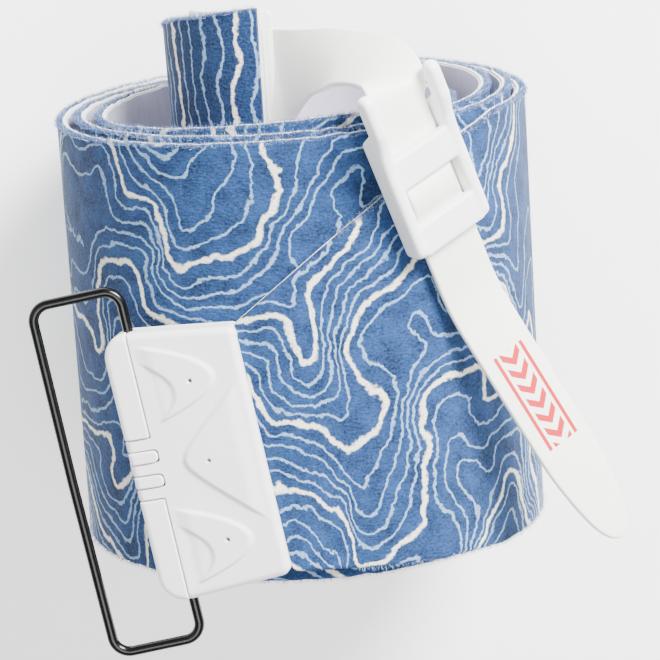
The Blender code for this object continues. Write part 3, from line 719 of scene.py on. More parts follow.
def profile(depths, count, overhang, rounding):
    """Shares across the skin, set-backs from the nearer edge and depths, once round a closed section."""
    inner = np.linspace(0.0, 1.0, count)
    near = np.array([0.0, 0.12, 0.35, 0.7, 1.0]) * rounding
    setback = np.concatenate([near, np.zeros(count - 2), near[::-1]])
    share = np.concatenate([np.zeros(5), inner[1:-1], np.ones(5)])
    drop = rounding - np.sqrt(np.maximum(rounding ** 2 - (rounding - near) ** 2, 0.0))
    drop = np.concatenate([drop, np.zeros(count - 2), drop[::-1]])
    outer = depths[0] + drop
    return share, setback - overhang, outer, np.full(len(share), depths[1])


def skin_mesh(name, rings, along, across, material):
    """A closed sheet through rings that go up the outer face and down the inner one, with its flat map."""
    rows, count = rings.shape[0], rings.shape[1]
    half = count // 2
    ids = np.arange(rows * count).reshape(rows, count)
    nxt = np.roll(ids, -1, axis=1)
    quads = np.stack([ids[:-1], nxt[:-1], nxt[1:], ids[1:]], axis=-1).reshape(-1, 4)
    ends = []
    for row, turned in ((ids[0], False), (ids[-1], True)):
        for j in range(half - 1):
            quad = (row[j], row[j + 1], row[count - 2 - j], row[count - 1 - j])
            ends.append(quad if turned else quad[::-1])
    faces = np.concatenate([quads, np.array(ends)])
    mesh = bpy.data.meshes.new(name)
    mesh.from_pydata(rings.reshape(-1, 3).tolist(), [], faces.tolist())
    layer = mesh.uv_layers.new(name="skin")
    flat = np.stack([np.broadcast_to(along[:, None], (rows, count)), across], axis=-1).reshape(-1, 2)
    loops = np.zeros(len(mesh.loops), np.int32)
    mesh.loops.foreach_get("vertex_index", loops)
    layer.data.foreach_set("uv", flat[loops].astype(np.float32).ravel())
    shape = bmesh.new()
    shape.from_mesh(mesh)
    bmesh.ops.recalc_face_normals(shape, faces=shape.faces)
    shape.to_mesh(mesh)
    shape.free()
    mesh.shade_smooth()
    mesh.set_sharp_from_angle(angle=math.radians(50))
    thing = mesh_object(name, mesh)
    thing.data.transform(roll_matrix())
    thing.data.materials.append(material)
    return thing


def roll_stations(sizes):
    """Turns at even spacing along the skin, and the distance along it from the seam."""
    fine = np.linspace(0.0, TAIL_TURN, 4000)
    radius = wound_radius(fine, sizes)
    run = np.concatenate([[0], np.cumsum(2 * math.pi * (radius[1:] + radius[:-1]) / 2 * np.diff(fine))])
    along = np.linspace(0.0, run[-1], int(run[-1] / sizes.station) + 1)
    return np.interp(along, run, fine), along


def wound_rings(turns, sizes, section):
    """The wound skin's sections, up the outer face and down the inner one, and their places across it."""
    share, setback, outer, inner = section
    low, high = bottom_edge(turns, sizes), top_edge(turns, sizes)
    rough = raggedness(turns)
    ride, sway = slack(turns)
    low, high = low + ride + rough, high + ride + rough
    azimuth = np.radians(SEAM_AZIMUTH + 360 * turns)[:, None]
    upper = np.where(share > 0.5, -1.0, 1.0)
    heights = low[:, None] + (high - low)[:, None] * share + upper * np.where(
        (share == 0) | (share == 1), setback, 0.0)
    rings = []
    bow = sway[:, None] * np.sin(math.pi * share)
    for depth in (outer, inner):
        radius = wound_radius(turns, sizes)[:, None] - depth + bow
        under = np.floor(turns)[:, None] * (sizes.thickness + TURN_GAP)
        floor = -(AXIS_HEIGHT - under - depth)
        x, z = radius * np.sin(azimuth), np.maximum(radius * np.cos(azimuth), floor)
        rings.append(np.stack([x, heights, z], axis=-1))
    sections = np.concatenate([rings[0], rings[1][:, ::-1]], axis=1)
    return sections, np.concatenate([heights, heights[:, ::-1]], axis=1)


def tip_rings(steps, sizes, bracket, section):
    """The tip from the seam to a little way inside the bracket's pocket."""
    share, setback, outer, inner = section
    half = sizes.thickness / 2
    mouth = bracket.width / 2
    low_corner = np.array(BRACKET_FRAME @ Vector((mouth, -bracket.short_side / 2, half)))
    high_corner = np.array(BRACKET_FRAME @ Vector((mouth, bracket.short_side / 2, half)))
    upright = np.array(BRACKET_FRAME.to_3x3() @ Vector((0, 0, 1)))
    rings, heights, along = [], [], []
    upper = np.where(share > 0.5, -1.0, 1.0)
    edge_shift = upper * np.where((share == 0) | (share == 1), setback, 0.0)
    for step in range(steps + 1):
        s = step / steps
        rise = smooth_step(np.array(s))
        line = low_corner + (high_corner - low_corner) * share[:, None]
        azimuth_end = np.degrees(np.arctan2(line[:, 0], line[:, 2]))
        reach_end = np.hypot(line[:, 0], line[:, 2])
        azimuth = SEAM_AZIMUTH + (azimuth_end - SEAM_AZIMUTH) * s
        radius = sizes.radius + (reach_end - sizes.radius) * rise
        turn = (azimuth - SEAM_AZIMUTH) / 360
        end_turn = (azimuth_end - SEAM_AZIMUTH) / 360
        fair = bottom_edge(turn, sizes) * (1 - share) + top_edge(turn, sizes) * share
        fair_end = bottom_edge(end_turn, sizes) * (1 - share) + top_edge(end_turn, sizes) * share
        height = fair + (line[:, 1] - fair_end) * s + edge_shift
        angle = np.radians(azimuth)
        outward = np.stack([np.sin(angle), np.zeros_like(angle), np.cos(angle)], axis=-1)
        outward = outward * (1 - s) + upright * s
        outward /= np.linalg.norm(outward, axis=1)[:, None]
        place_here = np.stack([radius * np.sin(angle), height, radius * np.cos(angle)], axis=-1)
        first = place_here - outward * outer[:, None]
        second = place_here - outward * inner[:, None]
        rings.append(np.concatenate([first, second[::-1]]))
        heights.append(np.concatenate([height, height[::-1]]))
        along.append(-s * TIP_RUN)
    pocket = POCKET_HALF / (bracket.short_side / 2)
    for reach in (0.0, TIP_INSIDE):
        y = (share * 2 - 1) * bracket.short_side / 2 * pocket + edge_shift
        rows = []
        for depth in (outer, inner):
            local = np.stack([np.full_like(y, mouth - MOUTH_GAP - reach), y, half - depth], axis=-1)
            rows.append(np.array([BRACKET_FRAME @ Vector(p) for p in local]))
        rings.append(np.concatenate([rows[0], rows[1][::-1]]))
        heights.append(heights[-1])
        along.append(-TIP_RUN - reach - MOUTH_GAP)
    return np.array(rings), np.array(heights), np.array(along)


LAYERS = (
    # name, depths of its two faces, points across, how far it stands past the pile's edge, rounding
    ("pile", (0.0, 0.0018), 46, 0.0, 0.0012),
    ("base", (0.0018, 0.0025), 12, 0.00015, 0.00005),
    ("film", (0.0025, 0.0032), 16, -0.0004, 0.0001),
)
TIP_STEPS = 14
# The strip the fibres stand on: depths below the pile's face, and set-backs from the edge.
FIBRE_STRIP = ((0.0001, 0.0009), (0.0008, 0.0003), (0.0015, 0.0001))


def edge_fibres(name, rings, outward, sizes, material, density, length):
    """Loose fibres that stand on a strip of the pile's edge, scattered by geometry nodes."""
    rows, count = rings.shape[0], rings.shape[1]
    ids = np.arange(rows * count).reshape(rows, count)
    quads = np.stack([ids[:-1, :-1], ids[:-1, 1:], ids[1:, 1:], ids[1:, :-1]], axis=-1).reshape(-1, 4)
    corners = rings.reshape(-1, 3)[quads]
    facing = np.cross(corners[:, 1] - corners[:, 0], corners[:, 3] - corners[:, 0])[:, 1].mean()
    if facing * outward < 0:
        quads = quads[:, ::-1]
    mesh = bpy.data.meshes.new(name)
    mesh.from_pydata(rings.reshape(-1, 3).tolist(), [], quads.tolist())
    thing = mesh_object(name, mesh)
    tree = fibre_tree(name + "_scatter", material)
    modifier = thing.modifiers.new("Fibres", "NODES")
    modifier.node_group = tree
    values = {"Density": density, "Length": length, "Seed": sizes.seed}
    for item in tree.interface.items_tree:
        if item.in_out == "INPUT" and item.name in values:
            modifier[item.identifier] = values[item.name]
    settle(thing)
    thing.data.transform(roll_matrix())
    return thing


def fibre_tree(name, material):
    """Scatters thin three-sided fibres over a strip, leaning at random about its normal."""
    tree = bpy.data.node_groups.new(name, "GeometryNodeTree")
    face = tree.interface
    face.new_socket("Geometry", in_out="INPUT", socket_type="NodeSocketGeometry")
    face.new_socket("Density", in_out="INPUT", socket_type="NodeSocketFloat")
    face.new_socket("Length", in_out="INPUT", socket_type="NodeSocketFloat")
    face.new_socket("Seed", in_out="INPUT", socket_type="NodeSocketInt")
    face.new_socket("Geometry", in_out="OUTPUT", socket_type="NodeSocketGeometry")
    given, result = tree.nodes.new("NodeGroupInput"), tree.nodes.new("NodeGroupOutput")
    points = add_node(tree, "GeometryNodeDistributePointsOnFaces",
                      {"Mesh": given.outputs["Geometry"], "Density": given.outputs["Density"],
                       "Seed": given.outputs["Seed"]})
    fibre = add_node(tree, "GeometryNodeMeshCone", {"Vertices": 3, "Radius Bottom": 0.00007,
                                                    "Radius Top": 0.00002, "Depth": 1.0}, fill_type="NONE")
    fibre_shape = add_node(tree, "GeometryNodeTransform", {"Geometry": fibre.outputs["Mesh"],
                                                           "Translation": (0, 0, -0.2)})
    lean = add_node(
        tree, "FunctionNodeRandomValue", {0: (-0.75,) * 3, 1: (0.75,) * 3, "Seed": given.outputs["Seed"]},
        data_type="FLOAT_VECTOR")
    reach = add_node(tree, "FunctionNodeRandomValue", {2: 0.45, 3: 1.0, "Seed": given.outputs["Seed"]},
                     data_type="FLOAT")
    tall = add_node(
        tree, "ShaderNodeMath", {0: reach.outputs[1], 1: given.outputs["Length"]}, operation="MULTIPLY")
    size = add_node(tree, "ShaderNodeCombineXYZ", {0: 1.0, 1: 1.0, 2: tall.outputs[0]})
    lean_turn = add_node(tree, "FunctionNodeEulerToRotation", {0: lean.outputs[0]})
    both = add_node(
        tree, "FunctionNodeRotateRotation", {0: points.outputs["Rotation"], 1: lean_turn.outputs[0]},
        rotation_space="LOCAL")
    placed = add_node(tree, "GeometryNodeInstanceOnPoints",
                      {"Points": points.outputs["Points"], "Instance": fibre_shape.outputs[0],
                       "Rotation": both.outputs[0], "Scale": size.outputs[0]})
    shade = add_node(tree, "FunctionNodeRandomValue", {2: 0.0, 3: 1.0, "Seed": 3}, data_type="FLOAT")
    stored = add_node(tree, "GeometryNodeStoreNamedAttribute",
                      {"Geometry": placed.outputs[0], "Name": "fibre_shade", "Value": shade.outputs[1]},
                      data_type="FLOAT", domain="INSTANCE")
    real = add_node(tree, "GeometryNodeRealizeInstances", {"Geometry": stored.outputs[0]})
    coloured = add_node(tree, "GeometryNodeSetMaterial", {"Geometry": real.outputs[0], "Material": material})
    tree.links.new(coloured.outputs[0], result.inputs[0])
    return tree


class SKIN_OT_wound_skin(bpy.types.Operator):
    """Lays the pile, its woven base and the film round the roll, from the seam with the tip to the tail."""

    bl_idname = "skin.wound_skin"
    bl_label = "Wound skin"

    def execute(self, context):
        sizes = context.scene.skin
        turns, along = roll_stations(sizes)
        makers = {"pile": pile_material, "base": base_material, "film": film_material}
        for layer, depths, count, overhang, rounding in LAYERS:
            section = profile(depths, count, overhang, rounding)
            rings, across = wound_rings(turns, sizes, section)
            piece = skin_mesh(f"skin_{layer}", rings, along, across, makers[layer]())
            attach(piece, "roll")
            if layer == "pile":
                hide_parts("pile_roll")
            elif layer == "film":
                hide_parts("backing_roll")
        return {"FINISHED"}


def tapered_cut(rings):
    """The tip's cut laid flat: its greatest width and length, and the area of its outer face, in metres."""
    outer = rings[:, : rings.shape[1] // 2]
    across, onward = np.diff(outer, axis=1), np.diff(outer, axis=0)
    width = np.linalg.norm(across, axis=2).sum(axis=1).max()
    length = np.linalg.norm(onward, axis=2).sum(axis=0).max()
    area = np.linalg.norm(np.cross(across[:-1], onward[:, :-1]), axis=2).sum() / 2
    area += np.linalg.norm(np.cross(across[1:], onward[:, 1:]), axis=2).sum() / 2
    return (float(width), float(length)), float(area)


class SKIN_OT_skin_tip(bpy.types.Operator):
    """Lays the tapered tip from the seam into the bracket."""

    bl_idname = "skin.skin_tip"
    bl_label = "Skin tip"

    def execute(self, context):
        sizes, bracket = context.scene.skin, context.scene.bracket
        names = {"pile": "printed_nylon_pile", "base": "woven_base_cloth", "film": "glue_side_film"}
        for layer, depths, count, overhang, rounding in LAYERS:
            section = profile(depths, count, overhang, rounding)
            rings, across, along = tip_rings(TIP_STEPS, sizes, bracket, section)
            piece = skin_mesh(f"tip_{layer}", rings, along, across, bpy.data.materials[names[layer]])
            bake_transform(piece)
            flat, area = tapered_cut(rings)
            if layer == "pile":
                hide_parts("pile_tip")
            elif layer == "film":
                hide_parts("backing_tip")
        return {"FINISHED"}


class SKIN_OT_edge_fibres(bpy.types.Operator):
    """Stands loose pile fibres along the cut edges of the wound skin."""

    bl_idname = "skin.edge_fibres"
    bl_label = "Edge fibres"

    def execute(self, context):
        sizes = context.scene.skin
        turns, _ = roll_stations(sizes)
        material = fibre_material()
        for side, name in ((1.0, "upper_edge_fibres"), (0.0, "lower_edge_fibres")):
            low, high = bottom_edge(turns, sizes), top_edge(turns, sizes)
            ride, _ = slack(turns)
            edge = (high if side else low) + ride + raggedness(turns)
            rows = []
            for depth, inset in FIBRE_STRIP:
                radius = wound_radius(turns, sizes) - depth
                azimuth = np.radians(SEAM_AZIMUTH + 360 * turns)
                floor = -(AXIS_HEIGHT - np.floor(turns) * (sizes.thickness + TURN_GAP) - depth)
                y = edge - inset if side else edge + inset
                rows.append(np.stack([radius * np.sin(azimuth), y,
                                      np.maximum(radius * np.cos(azimuth), floor)], axis=-1))
            strip = np.stack(rows, axis=1)
            # the lower edge is hardly seen, so it has a third of the fibres
            density = sizes.fibre_spacing if side else sizes.fibre_spacing / 3
            piece = edge_fibres(
                name, strip, 1.0 if side else -1.0, sizes, material, density, sizes.fibre_length)
            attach(piece, "roll")
        return {"FINISHED"}


# --- tip bracket ---------------------------------------------------------------------------------

COVER_TOP, BASE_TOP, BASE_BOTTOM = 0.0051, -0.0019, -0.0036
SEAM_X = -0.0120
WIRE_PLACE = Vector((SEAM_X, 0.0, (COVER_TOP + BASE_BOTTOM) / 2))
TONGUE, FINGER, SEAM_GAP = 0.0036, 0.0038, 0.00036
PIN_OFFSET, PIN_SPACING, PIN_HOLE = 0.004, 0.024, 0.00066
BAIL_DEPTH, BAIL_OVERHANG, BAIL_CORNER, BAIL_LIFT = 0.026, 0.0125, 0.0050, 12.0
HINGE_CORNER, LOW_MOUTH_CORNER, HIGH_MOUTH_CORNER = 0.0075, 0.0032, 0.0026
COVER_EDGE, BASE_EDGE = 0.0019, 0.0008
FINGER_CORNER, FINGER_REACH = 0.0014, 0.0012
POCKET_FLOOR, POCKET_REACH, POCKET_DEPTH = 0.0035, 0.034, 0.0019


def housing_outline(bracket):
    """The closed bracket from above, longer on its hinge side, with the corners rounded."""
    left, right = -bracket.width / 2, bracket.width / 2
    near, far = bracket.long_side / 2, bracket.short_side / 2
    outline = arc((left + HINGE_CORNER, -near + HINGE_CORNER), HINGE_CORNER, 180, 270, 12)
    outline += arc((right - LOW_MOUTH_CORNER, -far + LOW_MOUTH_CORNER), LOW_MOUTH_CORNER, 270, 360, 8)
    outline += arc((right - HIGH_MOUTH_CORNER, far - HIGH_MOUTH_CORNER), HIGH_MOUTH_CORNER, 0, 90, 8)
    outline += arc((left + HINGE_CORNER, near - HINGE_CORNER), HINGE_CORNER, 90, 180, 12)
    return outline


def seam_outline(bracket, shift):
    """What lies on the cover's side of the seam, which steps round three tongues and two fingers."""
    left, reach = -bracket.width / 2 - 0.002, bracket.long_side
    pitch = TONGUE + FINGER
    x = SEAM_X + shift
    outline = [(bracket.width, -reach), (bracket.width, reach), (x, reach)]
    top = pitch + TONGUE / 2 - shift
    outline += [(x, top), (left, top)]
    for index in (0.5, -0.5):
        middle = index * pitch
        half = FINGER / 2 + shift
        tip = x + FINGER_REACH
        outline += [(left, middle + half)]
        outline += arc((tip - FINGER_CORNER, middle + half - FINGER_CORNER), FINGER_CORNER, 90, 0, 5)
        outline += arc((tip - FINGER_CORNER, middle - half + FINGER_CORNER), FINGER_CORNER, 0, -90, 5)
        outline += [(left, middle - half)]
    outline += [(left, -top), (x, -top), (x, -reach)]
    return outline


def hills(x, y):
    """The moulded land on the cover, from 0 to 1: two hills that point to the mouth and one away."""
    height = np.zeros_like(x)
    for middle in (0.0245, -0.0245):
        edge = 0.0110 - 150.0 * (y - middle) ** 2
        height = np.maximum(
            height, smooth_step((edge - x) / 0.0022 + 0.5) * smooth_step((x + 0.0110) / 0.006))
        hollow = -0.0015 - 95.0 * (y - middle + 0.003) ** 2
        height -= 0.8 * smooth_step((hollow - x) / 0.0022 + 0.5) * smooth_step((x + 0.0110) / 0.004)
    bend = np.sqrt((y - 0.0008) ** 2 + 0.0035 ** 2) - 0.0035
    ridge = -0.0032 + 1.18 * bend
    return height + smooth_step((x - ridge) / 0.0022 + 0.5) * smooth_step((0.0185 - x) / 0.006)


def emboss(thing, bracket):
    """Raises the hills on the cover's top."""
    mesh = thing.data
    co = np.zeros(len(mesh.vertices) * 3, np.float32)
    mesh.vertices.foreach_get("co", co)
    co = co.reshape(-1, 3)
    x, y, z = co.T
    on_top = smooth_step((z - (COVER_TOP - 0.0016)) / 0.0012)
    co[:, 2] += on_top * (hills(x, y) - 0.6) * bracket.relief
    mesh.vertices.foreach_set("co", co.ravel())
    mesh.update()


class SKIN_OT_tip_bracket(bpy.types.Operator):
    """Moulds the bracket's cover and base, and drills the cover for the pins. No bore is cut for the wire."""

    bl_idname = "skin.tip_bracket"
    bl_label = "Tip bracket"

    def housing(self, bracket, name):
        thing = prism(name, housing_outline(bracket), BASE_BOTTOM, COVER_TOP)
        bevel_edges(thing, COVER_EDGE, 5, lambda e: all(v.co.z > COVER_TOP - 1e-5 for v in e.verts))
        bevel_edges(thing, BASE_EDGE, 3, lambda e: all(v.co.z < BASE_BOTTOM + 1e-5 for v in e.verts))
        pocket = box("pocket", (SEAM_X + POCKET_FLOOR, -POCKET_REACH, -POCKET_DEPTH),
                     (bracket.width, POCKET_REACH, POCKET_DEPTH))
        combine(thing, "DIFFERENCE", pocket)
        return thing

    def execute(self, context):
        bracket = context.scene.bracket
        plastic = moulded_material("moulded_white_shell", bracket.shell_colour, "#EDEDEF", 0.38)
        gap = SEAM_GAP / 2
        for name, keep_cover in (("tip_bracket_cover", True), ("tip_bracket_base", False)):
            thing = self.housing(bracket, name)
            for index in (-1, 0, 1) if keep_cover else ():
                ring = arc((PIN_OFFSET, index * PIN_SPACING), PIN_HOLE, 0, 345, 23)
                combine(thing, "DIFFERENCE", prism("pin_hole", ring, 0.0, COVER_TOP + 0.01))
            side = prism("side", seam_outline(bracket, gap if keep_cover else -gap),
                         BASE_TOP + (SEAM_GAP if keep_cover else 0.0), COVER_TOP + 0.01)
            combine(thing, "INTERSECT" if keep_cover else "DIFFERENCE", side)
            mould(thing, bracket.voxel, 3)
            if keep_cover:
                emboss(thing, bracket)
            place(thing, BRACKET_FRAME, plastic)
            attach(thing, "tip")
            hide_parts("bracket_cover" if keep_cover else "bracket_base")
        pins = brass_material()
        for index in (1, 2, 3):
            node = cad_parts[f"bracket_pin_{index}"]
            node.data.materials.clear()
            node.data.materials.append(pins)
        return {"FINISHED"}


class SKIN_OT_wire_bail(bpy.types.Operator):
    """Bends the wire bail: a closed loop with slightly bowed ends, one long side in the bracket."""

    bl_idname = "skin.wire_bail"
    bl_label = "Wire bail"

    def execute(self, context):
        bracket = context.scene.bracket
        half = bracket.long_side / 2 + BAIL_OVERHANG
        corner, steps = BAIL_CORNER, 10
        path = arc((-corner, half - corner), corner, 0, 90, steps)
        path += arc((-BAIL_DEPTH + corner, half - corner), corner, 90, 180, steps)
        path += [(-BAIL_DEPTH - 0.0003, 0.0)]
        path += arc((-BAIL_DEPTH + corner, -half + corner), corner, 180, 270, steps)
        path += arc((-corner, -half + corner), corner, 270, 360, steps)
        curve = bpy.data.curves.new("bail_wire", "CURVE")
        curve.dimensions = "3D"
        curve.bevel_depth = bracket.wire_radius
        curve.bevel_resolution = 6
        spline = curve.splines.new("POLY")
        spline.points.add(len(path) - 1)
        for point, (x, y) in zip(spline.points, path):
            point.co = (x, y, 0, 1)
        spline.use_cyclic_u = True
        thing = bpy.data.objects.new("bail_wire", curve)
        bpy.context.scene.collection.objects.link(thing)
        mesh = bpy.data.meshes.new_from_object(thing.evaluated_get(context.evaluated_depsgraph_get()))
        bpy.data.objects.remove(thing, do_unlink=True)
        mesh.shade_smooth()
        wire = mesh_object("bail_wire", mesh)
        lift = Matrix.Translation(WIRE_PLACE) @ Matrix.Rotation(math.radians(BAIL_LIFT), 4, "Y")
        place(wire, BRACKET_FRAME @ lift, wire_material())
        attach(wire, "bail")
        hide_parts("wire_bail")
        return {"FINISHED"}


# --- tail strap and buckle -----------------------------------------------------------------------

PLATE_MIDDLE, PLATE_WIDTH, PLATE_THICKNESS, PLATE_OVERHANG = 0.1420, 0.038, 0.0015, 0.0035
PLATE_LENGTH = 0.026
ROOT_HEIGHT, ROOT_CLEARANCE = 0.1445, 0.0012
ROOT_HEADING, ROOT_CLIMB, ROOT_LEAN, ROOT_HANDLE = 45.0, 11.0, -34.0, 0.056
SLOT_HANDLE, STRAIGHT_ABOVE_SLOT, LEAN_POWER = 0.011, 0.0085, 0.5
BUCKLE_END = -0.031
RUN_AFTER_BUCKLE, RUN_BEND, RUN_BEND_LENGTH, RUN_STRAIGHT = 0.014, 20.0, 0.015, 0.075
POINT_LENGTH = 0.030
# The root widens to its plate: by how much below and above, and over what share of the arch it ends.
FLARE_BELOW, FLARE_ABOVE, FLARE_END = 0.0085, 0.0020, 0.12
# The share of the arch where the root has turned to its lean, and how the sections crowd to the root.
LEAN_END, STATION_POWER, ARCH_STATIONS = 0.26, 1.35, 64
PLATE_GAP, SECTION_SMOOTH = 0.0002, 60


def strap_stations(sizes, strap):
    """Middle, width direction, outward direction and the two half widths, from root to point."""
    turn = BUCKLE_FRAME.to_3x3()
    slot = BUCKLE_FRAME @ Vector((0, 0, 0))
    across, down, out = (turn @ Vector(v) for v in ((1, 0, 0), (0, -1, 0), (0, 0, 1)))
    azimuth = math.radians(TAIL_AZIMUTH)
    end_radius = CORE_END_RADIUS - sizes.thickness - PLATE_GAP - PLATE_THICKNESS / 2
    along_plate = Vector((math.cos(azimuth), 0, -math.sin(azimuth)))
    root = Vector((end_radius * math.sin(azimuth), ROOT_HEIGHT, end_radius * math.cos(azimuth)))
    start = root + along_plate * (PLATE_OVERHANG + ROOT_CLEARANCE)
    heading, climb = math.radians(ROOT_HEADING), math.radians(ROOT_CLIMB)
    away = Vector((math.cos(heading) * math.cos(climb), math.sin(climb), math.sin(heading) * math.cos(climb)))
    entry = slot - down * STRAIGHT_ABOVE_SLOT
    knots = (start, start + away * ROOT_HANDLE, entry - down * SLOT_HANDLE, entry)
    lean = math.radians(ROOT_LEAN)
    lean_root = Vector((0, math.cos(lean), math.sin(lean)))
    half = strap.width / 2
    stations = []
    plate_up = Vector((0, 1, 0))
    for back in (0.004, 0.0025):
        middle = start - along_plate * back
        stations.append(
            (middle, plate_up, along_plate.cross(plate_up), half + FLARE_BELOW, half + FLARE_ABOVE))
    for step in range(ARCH_STATIONS):
        t = (step / ARCH_STATIONS) ** STATION_POWER
        weights = ((1 - t) ** 3, 3 * (1 - t) ** 2 * t, 3 * (1 - t) * t * t, t ** 3)
        middle = sum((k * w for k, w in zip(knots, weights)), Vector())
        slopes = ((1 - t) ** 2, 2 * (1 - t) * t, t * t)
        forward = sum(((b - a) * w for a, b, w in zip(knots, knots[1:], slopes)), Vector()).normalized()
        wide = lean_root.lerp(across, t ** LEAN_POWER)
        root_share = float(smooth_step(np.array(t / LEAN_END)))
        wide = plate_up.lerp(wide, root_share)
        wide = (wide - forward * wide.dot(forward)).normalized()
        flare = FLARE_BELOW * max(0.0, 1 - t / FLARE_END) ** 2
        top = FLARE_ABOVE * max(0.0, 1 - t / FLARE_END) ** 2
        stations.append((middle, wide, forward.cross(wide), half + flare, half + top))
    reach = -BUCKLE_END + RUN_AFTER_BUCKLE
    for share in np.linspace(0, 1, 14):
        distance = -STRAIGHT_ABOVE_SLOT + (reach + STRAIGHT_ABOVE_SLOT) * share
        stations.append((slot + down * distance, across, out, half, half))
    middle = slot + down * reach
    bends = 10
    for step in range(1, bends + 1):
        angle = math.radians(RUN_BEND * (step - 0.5) / bends)
        middle = middle + (down * math.cos(angle) + out * math.sin(angle)) * (RUN_BEND_LENGTH / bends)
        angle = math.radians(RUN_BEND * step / bends)
        stations.append((middle, across, out * math.cos(angle) - down * math.sin(angle), half, half))
    angle = math.radians(RUN_BEND)
    forward = down * math.cos(angle) + out * math.sin(angle)
    face = out * math.cos(angle) - down * math.sin(angle)
    point_start = RUN_STRAIGHT - POINT_LENGTH
    for share in np.linspace(0.1, 1, 14):
        stations.append((middle + forward * point_start * share, across, face, half, half))
    for share in np.sin(np.linspace(0.05, math.pi / 2, 18)):
        width = half * (1 - 0.50 * share ** 1.6) * math.sqrt(max(1 - share ** 9, 0.006))
        stations.append((middle + forward * (point_start + POINT_LENGTH * share), across, face, width, width))
    return stations


def strap_section(low, high, thickness, radius, corner_steps=3):
    """A rounded rectangle as (across, out) points."""
    radius = min(radius, (low + high) / 2 * 0.9)
    t = thickness / 2
    centres = ((high - radius, t - radius, 0), (-low + radius, t - radius, 90),
               (-low + radius, -t + radius, 180), (high - radius, -t + radius, 270))
    points = []
    for x, y, angle in centres:
        points += arc((x, y), radius, angle, angle + 90, corner_steps)
    return points


class SKIN_OT_tail_strap(bpy.types.Operator):
    """Lofts the tail strap from its plate, over the roll's edge and through the buckle, to its point."""

    bl_idname = "skin.tail_strap"
    bl_label = "Tail strap"

    def execute(self, context):
        strap, sizes = context.scene.strap, context.scene.skin
        points, flat = [], []
        stations = strap_stations(sizes, strap)
        run, last = 0.0, stations[0][0]
        for middle, wide, out, low, high in stations:
            run += (middle - last).length
            last = middle
            for x, y in strap_section(low, high, strap.thickness, strap.edge_radius):
                points.append(middle + wide * x + out * y)
                flat.append((x, run))
        count = len(points) // len(stations)
        thing = faces_to_object("tail_strap", points, loft_faces(len(stations), count))
        layer = thing.data.uv_layers.new(name="strap")
        for loop in thing.data.loops:
            layer.data[loop.index].uv = flat[loop.vertex_index]
        outer = thing.data.attributes.new("outer_face", "FLOAT", "FACE")
        for face in thing.data.polygons:
            station = min(face.vertices) // count
            outer.data[face.index].value = float(face.normal.dot(stations[station][2]) > 0.5)
        thing.data.shade_smooth()
        thing.data.set_sharp_from_angle(angle=math.radians(SECTION_SMOOTH))
        place(thing, Matrix.Identity(4), strap_material())
        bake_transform(thing)
        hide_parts("strap")
        self.plate(sizes)
        self.hump(strap)
        return {"FINISHED"}

    def plate(self, sizes):
        """The strap's wide root, welded on the film side of the tail."""
        azimuth = math.radians(TAIL_AZIMUTH)
        low, high = PLATE_MIDDLE - PLATE_WIDTH / 2, PLATE_MIDDLE + PLATE_WIDTH / 2
        depth = sizes.thickness + PLATE_GAP + PLATE_THICKNESS / 2
        forward = Vector((math.cos(azimuth), 0, -math.sin(azimuth)))
        rings = []
        for step in range(13):
            share = step / 12
            turn = TAIL_TURN - PLATE_LENGTH * (1 - share) / (2 * math.pi * CORE_END_RADIUS)
            radius = float(wound_radius(np.array(turn), sizes)) - depth
            angle = math.radians(SEAM_AZIMUTH + 360 * turn)
            middle = Vector((radius * math.sin(angle), (low + high) / 2, radius * math.cos(angle)))
            rings.append((middle, Vector((math.sin(angle), 0, math.cos(angle))), 0.0))
        end = rings[-1]
        rings += [(end[0] + forward * reach, end[1], shrink) for reach, shrink in
                  ((0.0015, 0.0), (0.0030, 0.0004), (PLATE_OVERHANG, 0.0012))]
        points = []
        half = (high - low) / 2
        for middle, out, shrink in rings:
            for x, y in strap_section(half - shrink, half - shrink, PLATE_THICKNESS, 0.0005):
                points.append(middle + Vector((0, 1, 0)) * x + out * y)
        thing = faces_to_object("strap_root_plate", points, loft_faces(len(rings), len(points) // len(rings)))
        thing.data.shade_smooth()
        thing.data.set_sharp_from_angle(angle=math.radians(SECTION_SMOOTH))
        place(thing, Matrix.Identity(4), bpy.data.materials["elastomer_strap"])
        thing.data.uv_layers.new(name="strap")
        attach(thing, "roll")
        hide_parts("strap_plate")

    def hump(self, strap):
        """The strap's rise over the buckle's inner rib, seen through the window."""
        half = strap.width / 2 - 0.0004
        base = strap.thickness / 2 + 0.0002
        points = []
        rings = 25
        for step in range(rings):
            share = step / (rings - 1)
            y = -0.0225 + 0.0135 * share
            rise = 0.0030 * math.sin(math.pi * share) ** 0.8
            right = half - 0.0022 * math.sin(math.pi * share)
            middle = Vector((0, y, base + rise - 0.0012))
            for x, z in strap_section(half, right, 0.0024, 0.0007):
                points.append(middle + Vector((x, 0, z)))
        thing = faces_to_object("strap_over_rib", points, loft_faces(rings, len(points) // rings))
        thing.data.shade_smooth()
        thing.data.set_sharp_from_angle(angle=math.radians(SECTION_SMOOTH))
        place(thing, BUCKLE_FRAME, bpy.data.materials["elastomer_strap"])
        thing.data.uv_layers.new(name="strap")
        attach(thing, "slide_buckle")
        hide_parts("strap_hump")


# The buckle: room round the strap, the walls' thickness, foot and top, the ears' rise above the top and
# their two reaches, and the bars' and floor's sizes.
STRAP_ROOM, WALL_THICKNESS, WALL_FOOT, WALL_TOP = 0.0004, 0.0040, -0.0029, 0.0052
EAR_RISE, EAR_REACHES = 0.0026, (0.0217, 0.0200)
FLOOR_THICKNESS, FLOOR_REACH, BAR_THICKNESS = 0.0015, 0.0065, 0.0035
BAR_SPANS = ((-0.010, 0.0), (BUCKLE_END, -0.0215))


